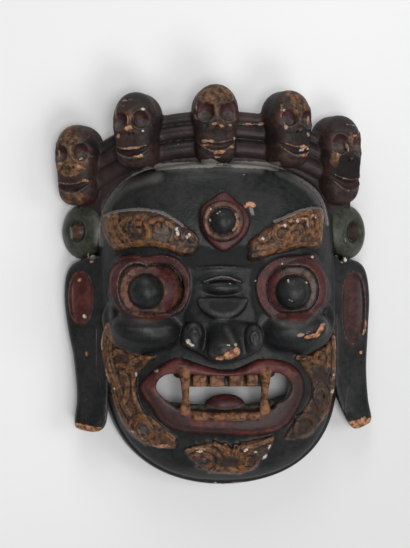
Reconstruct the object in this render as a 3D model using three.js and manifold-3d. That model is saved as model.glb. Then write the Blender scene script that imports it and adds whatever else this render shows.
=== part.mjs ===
// A Tibetan cham dance mask: a wrathful three-eyed face with a crown of five skulls, carved from one block of
// wood and hollowed behind. It lies on its back rim, face up: +X is to the right of someone looking at the face,
// +Y is towards the crown and +Z is out of the face. All sizes are in millimetres.
import * as THREE from 'three';
import { mergeVertices } from 'three/addons/utils/BufferGeometryUtils.js';
import Module from 'manifold-3d';

const wasm = await Module();
wasm.setup();

// Driving dimensions. Heights are measured from the floor under the back rim, and y = 0 is at the eyes.
const faceHalfWidth = 121.5;
const chinY = -203.5;
const jawY = -60;
const foreheadY = 122;
const sideHeight = 16;
const wall = 13;
const jawShift = 7.5;
const crownHalfWidth = 137;
const crownTopY = 166;
const crownBottomY = 62;
const crownFront = 66;
const crownSweep = 36;
const crownDrop = 26;
const eyeX = 72;
const eyeY = -6;
const bandRolls = [[166.5, 6], [152.8, 8.2], [136, 9.2]];
const bandSink = 3.2;
const earSlope = 0.62;
const earRim = 112;
const earThickness = 14;
const roundelTilt = 0.8;
const webThickness = 14;
const stringHoleRadius = 3.1;
const stringHoleX = 125;
const stringHoleY = 28;
const centreY = -3.6;
const throughCut = 150;
const shortestEdge = 3;

// Height of the face along its middle line, from the chin up to the top of the forehead.
const profile = [
  [-203.5, 19], [-196, 33], [-184, 48], [-165, 61], [-140, 70], [-112, 75], [-85, 82],
  [-60, 89], [-20, 95], [25, 98], [60, 98], [85, 96], [104, 90], [116, 80], [122, 66],
];

function clamp01(value) {
  return Math.min(1, Math.max(0, value));
}

function crest(y) {
  const last = profile.length - 1;
  if (y <= profile[0][0]) return profile[0][1];
  if (y >= profile[last][0]) return profile[last][1];
  const i = profile.findIndex((station) => station[0] > y);
  const [y0, z0] = profile[i - 1];
  const [y1, z1] = profile[i];
  return z0 + ((z1 - z0) * (y - y0)) / (y1 - y0);
}

function halfWidth(y) {
  if (y < jawY) {
    const t = clamp01((jawY - y) / (jawY - chinY));
    return faceHalfWidth * (1 - t ** 3) ** 0.48;
  }
  const t = clamp01((y - jawY) / (foreheadY - jawY));
  return faceHalfWidth * (1 - t ** 8) ** 0.385;
}

function midline(y) {
  return jawShift * clamp01((35 - y) / 225);
}

// The plain surface of the face, before any feature is carved on it.
function surface(x, y) {
  const u = Math.abs(x - midline(y)) / Math.max(halfWidth(y), 1);
  const round = Math.max(0, 1 - u ** 2.6) ** 0.45;
  return sideHeight + (crest(y) - sideHeight) * round;
}

// The wall of the crown behind the skulls: its front height and its top edge both fall away to the sides.
function crownZ(x) {
  return crownFront - crownSweep * (Math.abs(x) / crownHalfWidth) ** 2;
}

function crownY(x) {
  return crownTopY - crownDrop * (Math.abs(x) / 110) ** 2.6;
}

function solid(geometry) {
  const bare = geometry.index ? geometry.toNonIndexed() : geometry.clone();
  for (const name of Object.keys(bare.attributes)) {
    if (name !== 'position') bare.deleteAttribute(name);
  }
  const merged = mergeVertices(bare, 1e-3);
  const index = merged.index.array;
  const kept = [];
  for (let i = 0; i < index.length; i += 3) {
    const [a, b, c] = [index[i], index[i + 1], index[i + 2]];
    if (a !== b && b !== c && c !== a) kept.push(a, b, c);
  }
  const mesh = new wasm.Mesh({
    numProp: 3,
    vertProperties: new Float32Array(merged.attributes.position.array),
    triVerts: new Uint32Array(kept),
  });
  return new wasm.Manifold(mesh);
}

// A block with a front that rises over a grid of columns and rows, and a flat back closed by a fan.
function block(columns, rows, backZ, point) {
  const vertices = [];
  const faces = [];
  const stride = columns + 1;
  for (let j = 0; j <= rows; j += 1) {
    for (let i = 0; i <= columns; i += 1) {
      vertices.push(point(i / columns, j / rows));
    }
  }
  for (let j = 0; j < rows; j += 1) {
    for (let i = 0; i < columns; i += 1) {
      const a = j * stride + i;
      faces.push(a, a + 1, a + 1 + stride, a, a + 1 + stride, a + stride);
    }
  }
  const edge = [];
  for (let i = 0; i < columns; i += 1) edge.push(i);
  for (let j = 0; j < rows; j += 1) edge.push(j * stride + columns);
  for (let i = columns; i > 0; i -= 1) edge.push(rows * stride + i);
  for (let j = rows; j > 0; j -= 1) edge.push(j * stride);
  const first = vertices.length;
  for (const corner of edge) vertices.push([vertices[corner][0], vertices[corner][1], backZ]);
  const hub = vertices.length;
  vertices.push([0, (vertices[first][1] + vertices[first + 2 * columns][1]) / 2, backZ]);
  edge.forEach((corner, k) => {
    const next = (k + 1) % edge.length;
    faces.push(corner, first + k, first + next, corner, first + next, edge[next]);
    faces.push(first + k, hub, first + next);
  });
  const geometry = new THREE.BufferGeometry();
  geometry.setAttribute('position', new THREE.Float32BufferAttribute(vertices.flat(), 3));
  geometry.setIndex(faces);
  return solid(geometry);
}

// The face as a domed block. A margin makes it smaller all round, for the hollow behind it.
function faceBlock(columns, rows, margin, backZ) {
  const low = chinY + 0.2 + margin;
  const high = foreheadY - 0.2;
  return block(columns, rows, backZ, (u, v) => {
    const y = low + (high - low) * (0.5 - 0.5 * Math.cos(Math.PI * v));
    const side = Math.sin((Math.PI / 2) * (2 * u - 1));
    const reach = Math.max(4, halfWidth(y) - margin);
    const lean = (Math.abs(side) * reach) / (reach + margin);
    const z = surface(midline(y) + lean * halfWidth(y), y) - margin;
    return [midline(y) + side * reach, y, Math.max(z, sideHeight - margin / 2)];
  });
}

// The crown's wall as a bent block. A margin makes it smaller all round, for the hollow behind it.
function crownBlock(columns, margin, backZ) {
  const reach = crownHalfWidth - margin;
  return block(columns, 3, backZ, (u, v) => {
    const x = reach * (2 * u - 1);
    const y = crownBottomY + (crownY(x) - margin - crownBottomY) * v;
    return [x, y, crownZ(x) - margin];
  });
}

function egg(x, y, z, rx, ry, rz, lean = 0, segments = 8, rings = 6) {
  const geometry = new THREE.SphereGeometry(1, segments, rings);
  geometry.scale(rx, ry, rz);
  geometry.rotateZ(lean);
  geometry.translate(x, y, z);
  return geometry;
}

// A rounded bar of the given half thicknesses along a smooth curve.
function roll(points, across, up, steps, sides = 8) {
  const section = new THREE.Shape();
  section.absellipse(0, 0, up, across, 0, 2 * Math.PI);
  const path = new THREE.CatmullRomCurve3(points.map((p) => new THREE.Vector3(...p)));
  return new THREE.ExtrudeGeometry(section, { steps, extrudePath: path, curveSegments: sides / 2 });
}

// A closed outline through the given points, worked out as a smooth curve.
function smoothShape(points, samples) {
  const curve = new THREE.SplineCurve([...points, points[0]].map((p) => new THREE.Vector2(...p)));
  return new THREE.Shape(curve.getSpacedPoints(samples).slice(0, -1));
}

// A straight cut through the whole depth of the mask.
function cut(points, samples) {
  return solid(new THREE.ExtrudeGeometry(smoothShape(points, samples), { depth: throughCut, bevelEnabled: false }));
}

// A raised patch of the face, with a smooth outline and rounded edges. It follows the surface below it.
function relief(outline, raise, bevel, samples, sink = 9) {
  const depth = sink + raise - bevel;
  const geometry = new THREE.ExtrudeGeometry(smoothShape(outline, samples), {
    depth, bevelThickness: bevel, bevelSize: bevel, bevelOffset: -bevel, bevelSegments: 1,
  });
  const place = geometry.attributes.position;
  for (let i = 0; i < place.count; i += 1) {
    const lift = surface(place.getX(i), place.getY(i)) - sink;
    place.setZ(i, place.getZ(i) + lift);
  }
  return solid(geometry);
}

function union(parts) {
  return parts.map((part) => (part.isBufferGeometry ? solid(part) : part)).reduce((whole, part) => whole.add(part));
}

// One skull of the crown: a round cranium, a narrower jaw, deep sockets, a small nose and two smiling lips.
function skull(x, y, z, turn, lean, jawLength) {
  const smile = (low, width) => roll([[-width, low + 4, 11], [0, low, 18], [width, low + 4, 11]], 2.2, 2.2, 3, 4);
  const cranium = egg(0, 2, 0, 22.5, 27, 20, 0, 12, 8);
  const jaw = egg(0, 24 - jawLength, 0, 17.5, 24, 17);
  const nose = egg(0, -13, 17, 3.5, 5, 4, 0, 4, 3);
  const sockets = [-1, 1].map((side) => egg(side * 11, 1, 19, 8, 8.5, 7, 0, 7, 4));
  const place = new THREE.Matrix4().makeRotationZ(lean);
  place.multiply(new THREE.Matrix4().makeRotationY(turn)).setPosition(x, y, z);
  const set = (geometry) => solid(geometry.applyMatrix4(place));
  return union([cranium, jaw, nose, smile(-26, 12), smile(-35, 11)].map(set)).subtract(union(sockets.map(set)));
}

// Crown: five skulls on a band of three rounded rolls.
function crown() {
  const parts = [];
  for (const [level, radius] of bandRolls) {
    const points = [-124, -95, -60, -25, 0, 25, 60, 95, 124].map((x) => {
      return [x, level + crownY(x) - crownTopY, crownZ(x) - bandSink];
    });
    parts.push(roll(points, radius, radius, 10, 6));
  }
  parts.push(skull(-4.5, 167, 80, 0, 0, 47));
  parts.push(skull(-82, 160, 68, -0.35, 0.04, 45));
  parts.push(skull(69, 163, 68, 0.45, -0.04, 45));
  parts.push(skull(-140, 131, 34, -0.4, 0.06, 50));
  parts.push(skull(122, 141, 40, 0.5, -0.06, 58));
  return union(parts);
}

// Brows: broad carved bars with a curl at the outer end, rising to the temples.
function brow(side) {
  const outline = [
    [-115, 70], [-86, 76], [-66, 71], [-42, 60], [-25, 46], [-22, 34],
    [-32, 28], [-56, 30], [-80, 36], [-106, 37], [-116, 52],
  ].map(([x, y]) => [-side * x, y]);
  const curl = [];
  for (let k = 0; k <= 8; k += 1) {
    const angle = 0.8 * k;
    const radius = 15 - 1.4 * k;
    const x = -92 + radius * Math.cos(angle);
    const y = 55 + radius * Math.sin(angle);
    curl.push([-side * x, y, surface(-side * x, y) + 9]);
  }
  return union([relief(outline, 9, 4, 16), roll(curl, 2.6, 2.6, 8, 4)]);
}

// Eyes: a bulging ball in a ring, inside a broad rounded lid.
function eye(side) {
  const x = side * eyeX;
  const lid = [
    [-36, -3], [-34, 16], [-20, 29], [4, 30], [26, 20], [39, 0], [30, -20], [8, -30], [-16, -29], [-31, -18],
  ].map(([dx, dy]) => [x - side * dx, eyeY + dy]);
  const ring = new THREE.TorusGeometry(25, 4.5, 5, 14);
  ring.translate(x, eyeY, 93);
  const mound = egg(x, eyeY, 74, 37, 31, 24);
  const ball = egg(x - side * 1, eyeY, 95, 18, 18, 17, 0, 12, 8);
  return union([mound, relief(lid, 7, 4, 16), ring, ball]);
}

// The third eye stands upright in a pointed flame on the forehead.
function thirdEye() {
  const flame = [[1, 90], [-12, 80], [-22, 61], [-13, 44], [1, 33], [15, 44], [25, 61], [14, 80]];
  const ring = new THREE.TorusGeometry(17, 2.8, 4, 12);
  ring.translate(1, 61, 106);
  return union([relief(flame, 7, 3, 14), ring, egg(1, 61, 102, 14.5, 14.5, 13, 0, 10, 7)]);
}

// Nose: wrinkled bridge, a heavy tip and two flared wings.
function nose() {
  const fold = (y, half, rise, z, radius) => {
    return roll([[-half, y - rise, z - 9], [-half / 2, y, z - 2], [half / 2, y, z - 2], [half, y - rise, z - 9]],
      radius, radius, 5, 4);
  };
  return union([
    egg(0, 2, 88, 25, 34, 20),
    fold(17, 24, 5, 106, 3.5),
    fold(5, 22, 4, 108, 3.5),
    egg(-1, -20, 100, 22, 13, 18),
    egg(1, -52, 111, 18, 21, 26),
    egg(-29, -50, 98, 13, 15, 19, 0.3),
    egg(34, -52, 98, 13, 14, 19, -0.3),
    egg(2, -62, 92, 32, 13, 18),
  ]);
}

// Cheeks: hanging bags below the eyes, each with a hook that turns up at its outer end.
function cheek(side) {
  const hook = [[-105, -20, 62], [-107, -36, 70], [-97, -52, 80], [-76, -62, 86]];
  return union([
    egg(side * 72, -44, 80, 36, 21, 27, side * -0.12),
    egg(side * 40, -56, 82, 17, 15, 19),
    roll(hook.map(([x, y, z]) => [-side * x, y, z]), 9, 9, 4, 6),
  ]);
}

// Lips: one broad rounded band round the open mouth.
function lips() {
  const outer = [
    [-77, -97], [-63, -83], [-48, -73.5], [-37, -72], [-22, -77], [-4, -82], [15, -82], [28, -77], [42, -72.5],
    [65, -76], [78, -86], [84, -100], [81, -117], [70, -134], [54, -145], [30, -148.5], [-1, -147.5],
    [-29, -145.5], [-47, -141], [-59, -133], [-68, -119], [-76, -108],
  ];
  const inner = [
    [-63, -101], [-52, -89], [-28, -88], [3, -89], [32, -88], [58, -89],
    [70, -102], [63, -118], [46, -132], [4, -136], [-34, -132], [-54, -116],
  ];
  return relief(outer, 11, 5, 30, 12).subtract(cut(inner, 20));
}

// Teeth: square front teeth between long fangs, upper over lower, on gums, with the tongue between the rows. Behind
// the lower teeth the gum runs back as a low shelf.
function teeth() {
  const parts = [];
  for (const x of [-21, -4, 15, 31.5]) {
    parts.push(egg(x, -92, 80, 8, 9, 8, 0, 6, 4));
  }
  for (const x of [-19, -1, 16, 31]) {
    parts.push(egg(x, -128, 72, 8.2, 8, 8, 0, 6, 4));
  }
  for (const x of [-34, 44]) {
    parts.push(egg(x, -96, 79, 6, 16, 8, 0, 6, 4));
    parts.push(egg(x, -121, 75, 6.4, 12, 8, 0, 6, 4));
  }
  parts.push(roll([[-38, -90, 68], [4, -90, 74], [47, -90, 68]], 6, 7, 4, 4));
  parts.push(roll([[-50, -128, 58], [-25, -130, 65], [4, -131, 67], [33, -130, 65], [62, -128, 58]], 8, 8, 6, 4));
  parts.push(roll([[-56, -119, 56], [-25, -123, 58], [4, -124, 58], [33, -123, 58], [66, -117, 56]], 7, 6, 6, 4));
  parts.push(egg(6, -118, 60, 20, 10, 9, 0, 8, 5));
  return union(parts);
}

// A curl of beard: a bar that winds in to a point, lying on the face.
function curl(x, y, radius, start, hand, lift = 4.5) {
  const points = [];
  for (let k = 0; k <= 9; k += 1) {
    const angle = start + hand * 0.78 * k;
    const r = radius * (1 - k / 10.5);
    const [px, py] = [x + r * Math.cos(angle), y + r * Math.sin(angle)];
    points.push([px, py, surface(px, py) + lift]);
  }
  return roll(points, 3, 3, 9, 4);
}

function beard() {
  const left = [
    [-110, -37], [-116, -55], [-113, -79], [-105, -107], [-98, -131], [-87, -147], [-70, -159], [-45, -161],
    [-59, -144], [-70, -131], [-80, -113], [-83, -95], [-71, -76], [-64, -69], [-91, -65], [-103, -56],
  ];
  const right = [
    [117, -43], [119, -60], [119, -82], [117, -108], [107, -132], [96, -146], [83, -153], [66, -152],
    [75, -135], [89, -116], [91, -95], [79, -75], [98, -65], [109, -56],
  ];
  const tuft = [
    [-32, -163], [-21, -158], [-8, -156], [4, -157], [15, -162], [25, -156], [52, -151],
    [51, -163], [44, -173], [32, -185], [18, -190], [-6, -188], [-20, -180], [-30, -171],
  ];
  return union([
    relief(left, 5, 3, 16),
    relief(right, 5, 3, 16),
    relief(tuft, 6, 3, 14),
    curl(-73, -141, 12, 0.6, 1),
    curl(-95, -112, 13, 0.2, 1),
    curl(-98, -80, 12, 0, -1),
    curl(84, -142, 12, 2.5, -1),
    curl(104, -113, 12, 3, -1),
    curl(105, -80, 12, 3.1, 1),
    curl(-14.5, -171, 14, 1.2, 1, 5.5),
    curl(33, -174, 13, 2, -1, 5.5),
  ]);
}

// Ears: long hanging slabs, hollowed at the top, that slope back from the sides of the face.
function ear(side, outline, [hollowX, hollowY, hollowHalfX, hollowHalfY]) {
  const shape = smoothShape(outline.map(([x, y]) => [side * x, y]), 30);
  const geometry = new THREE.ExtrudeGeometry(shape, {
    depth: earThickness - 6, bevelThickness: 3, bevelSize: 3, bevelOffset: -3, bevelSegments: 1,
  });
  const place = geometry.attributes.position;
  for (let i = 0; i < place.count; i += 1) {
    const out = Math.abs(place.getX(i)) - earRim;
    place.setZ(i, place.getZ(i) + 4 + earSlope * (50 - out));
  }
  const hollowZ = 34.5 - earSlope * (hollowX - 145);
  const scoop = egg(side * hollowX, hollowY, hollowZ, hollowHalfX, hollowHalfY, 7, 0, 10, 5);
  return solid(geometry).subtract(solid(scoop));
}

// Roundels: domed discs with a boss in a turned groove, set at a slant above the ears.
function roundel(side, x, y) {
  const profilePoints = [
    [0, -9], [25, -9], [27.5, -5], [27.5, -1], [23, 4], [16, 5.5], [10.5, 2.5], [8.5, 2.5], [6, 6.5], [0, 7.5],
  ].map(([r, z]) => new THREE.Vector2(r, z));
  const geometry = new THREE.LatheGeometry(profilePoints, 14);
  geometry.rotateX(Math.PI / 2);
  geometry.rotateY(side * roundelTilt);
  geometry.translate(x, y, 25);
  return geometry;
}

// A web of wood behind each roundel and ear joins them to the face and takes the string hole.
function web(side) {
  const shape = new THREE.Shape();
  shape.moveTo(side * 105, -20);
  shape.lineTo(side * 134, -10);
  shape.lineTo(side * 138, 40);
  shape.lineTo(side * 136, 100);
  shape.lineTo(side * 105, 100);
  return new THREE.ExtrudeGeometry(shape, { depth: webThickness, bevelEnabled: false });
}

function cylinder(x, y, radius, low, high) {
  const geometry = new THREE.CylinderGeometry(radius, radius, high - low, 12);
  geometry.rotateX(Math.PI / 2);
  geometry.translate(x, y, (low + high) / 2);
  return geometry;
}

// The mouth is cut through to the hollow, so the wearer can see out between the teeth.
function mouthCut() {
  const outline = [
    [-62.5, -101], [-54, -89], [-34, -88], [3, -88], [40, -88], [60, -89], [69.5, -102],
    [60, -114], [46, -122], [4, -124], [-36, -122], [-50, -116],
  ];
  return cut(outline, 18);
}

const leftEar = [
  [116, 24], [137, 25], [151, 14], [154.5, -12], [150, -46], [144.5, -74], [141.5, -112],
  [144.5, -140], [140, -148], [119, -149], [112, -122], [112, -60],
];
const rightEar = [
  [116, 24], [138, 26], [153, 17], [158.5, -10], [157, -46], [155, -84], [157, -116],
  [161.5, -138], [156, -144], [139, -147], [122, -120], [118, -60],
];

const hollow = faceBlock(12, 12, wall, -5).add(crownBlock(10, wall, -5));
const shell = union([
  faceBlock(16, 18, 0, 0), crownBlock(14, 0, 0), web(-1), web(1),
  ear(-1, leftEar, [137, -13, 11, 25]), ear(1, rightEar, [140, -23, 12, 35]),
  roundel(-1, -138, 54), roundel(1, 137, 54),
  crown(), brow(-1), brow(1), thirdEye(), nose(), cheek(-1), cheek(1), eye(-1), eye(1), beard(),
]);
const stringHoles = union([-1, 1].map((side) => {
  return cylinder(side * stringHoleX, stringHoleY, stringHoleRadius, -5, 80);
}));
const floor = solid(new THREE.BoxGeometry(500, 500, 50).translate(0, 0, -25));
const carving = shell
  .subtract(mouthCut())
  .add(lips())
  .subtract(hollow)
  .add(teeth())
  .subtract(stringHoles)
  .subtract(floor);

// The outer skin of a solid, without any air pocket shut inside it, and with the slivers that the joins leave
// closed up: an edge shorter than the limit shrinks to its middle where that keeps the skin whole.
function skin(piece, limit) {
  const mesh = piece.getMesh();
  const points = [];
  for (let i = 0; i < mesh.vertProperties.length; i += 3) {
    points.push(new THREE.Vector3().fromArray(mesh.vertProperties, i));
  }
  let faces = [];
  for (let i = 0; i < mesh.triVerts.length; i += 3) faces.push([...mesh.triVerts.slice(i, i + 3)]);
  const around = points.map(() => new Set());
  faces.forEach((face, f) => face.forEach((v) => around[v].add(f)));

  const neighbours = (v) => new Set([...around[v]].flatMap((f) => faces[f]).filter((w) => w !== v));
  const normal = (corners) => new THREE.Triangle(...corners).getNormal(new THREE.Vector3());
  const keepsShape = (a, b, middle) => [...around[a], ...around[b]].every((f) => {
    const face = faces[f];
    if (face.includes(a) && face.includes(b)) return true;
    const before = normal(face.map((v) => points[v]));
    const moved = face.map((v) => (v === a || v === b ? middle : points[v]));
    const area = new THREE.Triangle(...moved).getArea();
    return area > 1e-3 && before.dot(normal(moved)) > 0.75;
  });
  const shrink = (a, b) => {
    const shared = [...neighbours(a)].filter((v) => neighbours(b).has(v));
    const middle = points[a].clone().lerp(points[b], 0.5);
    if (shared.length !== 2 || !keepsShape(a, b, middle)) return false;
    points[a] = middle;
    for (const f of [...around[b]]) {
      if (faces[f].includes(a)) {
        faces[f].forEach((v) => around[v].delete(f));
        faces[f] = null;
      } else {
        faces[f] = faces[f].map((v) => (v === b ? a : v));
        around[a].add(f);
      }
    }
    around[b].clear();
    return true;
  };
  for (let reach = limit / 6; reach <= limit; reach += limit / 6) {
    for (let f = 0; f < faces.length; f += 1) {
      for (let k = 0; k < 3 && faces[f]; k += 1) {
        const [a, b] = [faces[f][k], faces[f][(k + 1) % 3]];
        if (points[a].distanceTo(points[b]) < reach) shrink(a, b);
      }
    }
  }

  const start = points.findIndex((p, v) => around[v].size && p.z > 130);
  const seen = new Set([start]);
  const queue = [start];
  while (queue.length) {
    for (const v of neighbours(queue.pop())) {
      if (!seen.has(v)) {
        seen.add(v);
        queue.push(v);
      }
    }
  }
  faces = faces.filter((face) => face && seen.has(face[0]));
  const geometry = new THREE.BufferGeometry();
  geometry.setAttribute('position', new THREE.Float32BufferAttribute(points.flatMap((p) => p.toArray()), 3));
  geometry.setIndex(faces.flat());
  geometry.translate(0, -centreY, 0);
  geometry.computeVertexNormals();
  return geometry;
}

const lacquer = new THREE.MeshStandardMaterial({ color: 0x24272a, roughness: 0.38, metalness: 0 });
const mask = new THREE.Mesh(skin(carving, shortestEdge), lacquer);
mask.name = 'mask';

const group = new THREE.Group();
group.add(mask);

export default group;
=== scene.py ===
import math

import bmesh
import bpy
import numpy as np
from mathutils import Matrix


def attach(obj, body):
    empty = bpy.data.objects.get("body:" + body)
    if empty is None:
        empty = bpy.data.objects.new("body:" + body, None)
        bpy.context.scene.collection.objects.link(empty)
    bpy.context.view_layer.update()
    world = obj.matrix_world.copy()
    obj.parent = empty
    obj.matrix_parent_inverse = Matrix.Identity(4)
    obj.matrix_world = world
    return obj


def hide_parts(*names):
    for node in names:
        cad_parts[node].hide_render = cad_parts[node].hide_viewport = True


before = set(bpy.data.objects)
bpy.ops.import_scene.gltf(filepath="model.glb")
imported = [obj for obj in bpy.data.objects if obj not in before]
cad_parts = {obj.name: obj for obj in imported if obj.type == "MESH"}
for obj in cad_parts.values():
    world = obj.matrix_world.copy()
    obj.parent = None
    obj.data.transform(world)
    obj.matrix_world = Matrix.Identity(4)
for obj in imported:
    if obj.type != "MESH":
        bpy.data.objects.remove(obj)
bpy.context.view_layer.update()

# ---------------------------------------------------------------------------------------------------------------
# The table and the light. A pale matt table top in an evenly lit room, with soft windows to the right, to the lower
# right and beyond the crown, and a skylight overhead. The table is painted a little darker towards the lower right,
# as painted shade where the room's light falls off. The camera looks straight down on the mask from a little to its
# left.
# ---------------------------------------------------------------------------------------------------------------
table_half = 12.0
pale_grey = (0.70, 0.70, 0.70, 1)
pale_white = (0.76, 0.76, 0.755, 1)
shaded_grey = (0.79, 0.79, 0.79, 1)
floor_mesh = bpy.data.meshes.new("table")
floor_mesh.from_pydata(
    [(-table_half, -table_half, 0), (table_half, -table_half, 0), (table_half, table_half, 0),
     (-table_half, table_half, 0)], [], [(0, 1, 2, 3)])
floor = bpy.data.objects.new("table", floor_mesh)
bpy.context.scene.collection.objects.link(floor)
paper = bpy.data.materials.new("table_paper")
paper.use_nodes = True
paper_nodes, paper_links = paper.node_tree.nodes, paper.node_tree.links
paper_shader = paper_nodes["Principled BSDF"]
paper_shader.inputs["Roughness"].default_value = 0.85
paper_place = paper_nodes.new("ShaderNodeTexCoord")
paper_noise = paper_nodes.new("ShaderNodeTexNoise")
paper_noise.inputs["Scale"].default_value = 2.2
paper_ramp = paper_nodes.new("ShaderNodeValToRGB")
paper_ramp.color_ramp.elements[0].color = pale_grey
paper_ramp.color_ramp.elements[1].color = pale_white
# Painted shade: the paper is multiplied darker towards the lower right, where the room's light falls off.
paper_split = paper_nodes.new("ShaderNodeSeparateXYZ")
paper_slant = paper_nodes.new("ShaderNodeMath")
paper_slant.operation = "SUBTRACT"
paper_fade = paper_nodes.new("ShaderNodeMapRange")
paper_fade.interpolation_type = "SMOOTHSTEP"
for name, number in (("From Min", -0.2), ("From Max", 0.5), ("To Min", 0.0), ("To Max", 1.0)):
    paper_fade.inputs[name].default_value = number
paper_painted_shade = paper_nodes.new("ShaderNodeMix")
paper_painted_shade.data_type = "RGBA"
paper_painted_shade.blend_type = "MULTIPLY"
paper_painted_shade.inputs[7].default_value = shaded_grey
for start, end in (
        (paper_place.outputs["Object"], paper_noise.inputs["Vector"]),
        (paper_noise.outputs["Fac"], paper_ramp.inputs["Fac"]),
        (paper_place.outputs["Object"], paper_split.inputs["Vector"]),
        (paper_split.outputs["X"], paper_slant.inputs[0]),
        (paper_split.outputs["Y"], paper_slant.inputs[1]),
        (paper_slant.outputs[0], paper_fade.inputs["Value"]),
        (paper_fade.outputs["Result"], paper_painted_shade.inputs[0]),
        (paper_ramp.outputs["Color"], paper_painted_shade.inputs[6]),
        (paper_painted_shade.outputs[2], paper_shader.inputs["Base Color"])):
    paper_links.new(start, end)
floor_mesh.materials.append(paper)

lit_point = np.array([0, 0, 0.03])
for name, place, width, power in (
        ("window_right", (1.15, -0.05, 1.25), 0.7, 7.5), ("window_low", (0.40, -0.80, 1.6), 0.6, 9),
        ("window_top", (-0.15, 1.45, 1.05), 0.8, 9), ("skylight", (0.04, -0.11, 2.1), 0.45, 17.5)):
    lamp = bpy.data.lights.new(name, "AREA")
    lamp.shape = "RECTANGLE"
    lamp.size = lamp.size_y = width
    lamp.energy = power
    holder = bpy.data.objects.new(name, lamp)
    bpy.context.scene.collection.objects.link(holder)
    holder.location = place
    away = np.array(place) - lit_point
    holder.rotation_euler = (0, math.atan2(math.hypot(away[0], away[1]), away[2]), math.atan2(away[1], away[0]))
world = bpy.data.worlds.new("studio")
bpy.context.scene.world = world
bpy.context.scene.view_settings.view_transform = "Standard"
world.use_nodes = True
room_light = world.node_tree.nodes["Background"]
room_light.inputs["Color"].default_value = (0.98, 0.98, 1.0, 1)
room_light.inputs["Strength"].default_value = 0.30

aim = np.array([-0.004, 0.0036, 0.050])
camera_height = 1.5
camera_yaw = math.radians(4.0)
aim_left = 0.009
aim_up = 0.011
sensor_width = 36.0
lens_length = 98.54014598540147
eye_point = aim + camera_height * np.array([-math.sin(camera_yaw), 0, math.cos(camera_yaw)])
right = np.array([math.cos(camera_yaw), 0, math.sin(camera_yaw)])
looked_at = aim - aim_left * right + np.array([0, aim_up, 0])
lens_data = bpy.data.cameras.new("camera")
lens_data.sensor_width = sensor_width
lens_data.lens = lens_length
lens_data.clip_end = 20
camera = bpy.data.objects.new("camera", lens_data)
bpy.context.scene.collection.objects.link(camera)
forward = (looked_at - eye_point) / np.linalg.norm(looked_at - eye_point)
side = np.cross(forward, [0, 1, 0])
side /= np.linalg.norm(side)
up = np.cross(side, forward)
camera.matrix_world = Matrix(np.vstack([np.stack([side, up, -forward, eye_point], axis=1), [0, 0, 0, 1]]))
bpy.context.scene.camera = camera

# ---------------------------------------------------------------------------------------------------------------
# The block. One piece of light hardwood, roughed out as a deep dome. It is worked here as small cells that hold the
# distance to the nearest surface, less than nothing inside the wood, and each tool adds to it or cuts from it.
# Sizes are in millimetres from here on: x across, y up from the eyes, z out from the back rim.
# ---------------------------------------------------------------------------------------------------------------
cell = 1.25
outside_wood = 40
grid_low = np.array([-168.0, -210.0, -3.5])
grid_high = np.array([168.0, 205.0, 142.0])
xs, ys, zs = [np.arange(a, b, cell, dtype=np.float32) for a, b in zip(grid_low, grid_high)]
face_half_width = 121.5
chin_y = -203.5
jaw_y = -60.0
forehead_y = 122.0
side_height = 16.0
jaw_shift = 7.5
profile_y = [-230, -203.5, -196, -184, -165, -140, -112, -85, -60, -20, 25, 60, 85, 104, 117, 123, 140]
profile_z = [16, 17, 33, 48, 61, 70, 75, 82, 89, 95, 98, 98, 96, 92, 85, 70, 50]
profile_fine = np.arange(-230, 141, 1.0)
blur = np.exp(-0.5 * (np.arange(-18, 19) / 4.0) ** 2)
profile_padded = np.pad(np.interp(profile_fine, profile_y, profile_z), 18, mode="edge")
profile_smooth = np.convolve(profile_padded, blur / blur.sum(), mode="valid")


def half_width(y):
    low = np.clip((jaw_y - y) / (jaw_y - chin_y), 0, 1)
    high = np.clip((y - jaw_y) / (forehead_y - jaw_y), 0, 1)
    return face_half_width * np.where(y < jaw_y, (1 - low ** 3) ** 0.48, (1 - high ** 8) ** 0.385)


def midline(y):
    return jaw_shift * np.clip((35 - y) / 225, 0, 1)


def surface(x, y):
    u = np.abs(x - midline(y)) / np.maximum(half_width(y), 1)
    round_side = np.clip(1 - u ** 2.6, 0, 1) ** 0.45
    return side_height + (np.interp(y, profile_fine, profile_smooth) - side_height) * round_side


def blend_least(a, b, soft):
    h = np.clip(0.5 + 0.5 * (b - a) / soft, 0, 1)
    return b + (a - b) * h - soft * h * (1 - h)


wood = np.full((len(xs), len(ys), len(zs)), outside_wood, np.float32)


# ---------------------------------------------------------------------------------------------------------------
# Brows. Broad raised leaves left standing on the dome, carved with curls and painted ochre over umber. A thin edge
# along the top is painted pale grey, partly rubbed paint and partly painted highlight, and the paint has darkened in
# patches and flaked off in specks.
# ---------------------------------------------------------------------------------------------------------------
def smooth_path(points, closed=False, parts=6):
    p = np.array(points, float)
    if closed:
        p = np.vstack([p[-1], p, p[0], p[1]])
    else:
        p = np.vstack([2 * p[0] - p[1], p, 2 * p[-1] - p[-2]])
    t = np.linspace(0, 1, parts, endpoint=False)[:, None]
    out = []
    for a, b, c, d in zip(p[:-3], p[1:-2], p[2:-1], p[3:]):
        bend = (2 * a - 5 * b + 4 * c - d) * t ** 2 + (3 * b - a - 3 * c + d) * t ** 3
        out.append(0.5 * (2 * b + (c - a) * t + bend))
    out = np.vstack(out)
    return out if closed else np.vstack([out, p[-2]])


def patch_distance(x, y, loop):
    x, y = np.broadcast_arrays(x, y)
    nearest = np.full(x.shape, 1e9)
    inside = np.zeros(x.shape, bool)
    for (ax, ay), (bx, by) in zip(loop, np.roll(loop, -1, axis=0)):
        ex, ey = bx - ax, by - ay
        t = np.clip(((x - ax) * ex + (y - ay) * ey) / (ex * ex + ey * ey + 1e-9), 0, 1)
        nearest = np.minimum(nearest, (x - ax - t * ex) ** 2 + (y - ay - t * ey) ** 2)
        crosses = (ay > y) != (by > y)
        inside ^= crosses & (x < ex * (y - ay) / (ey + 1e-9) + ax)
    return np.where(inside, -1, 1) * np.sqrt(nearest)


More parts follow.
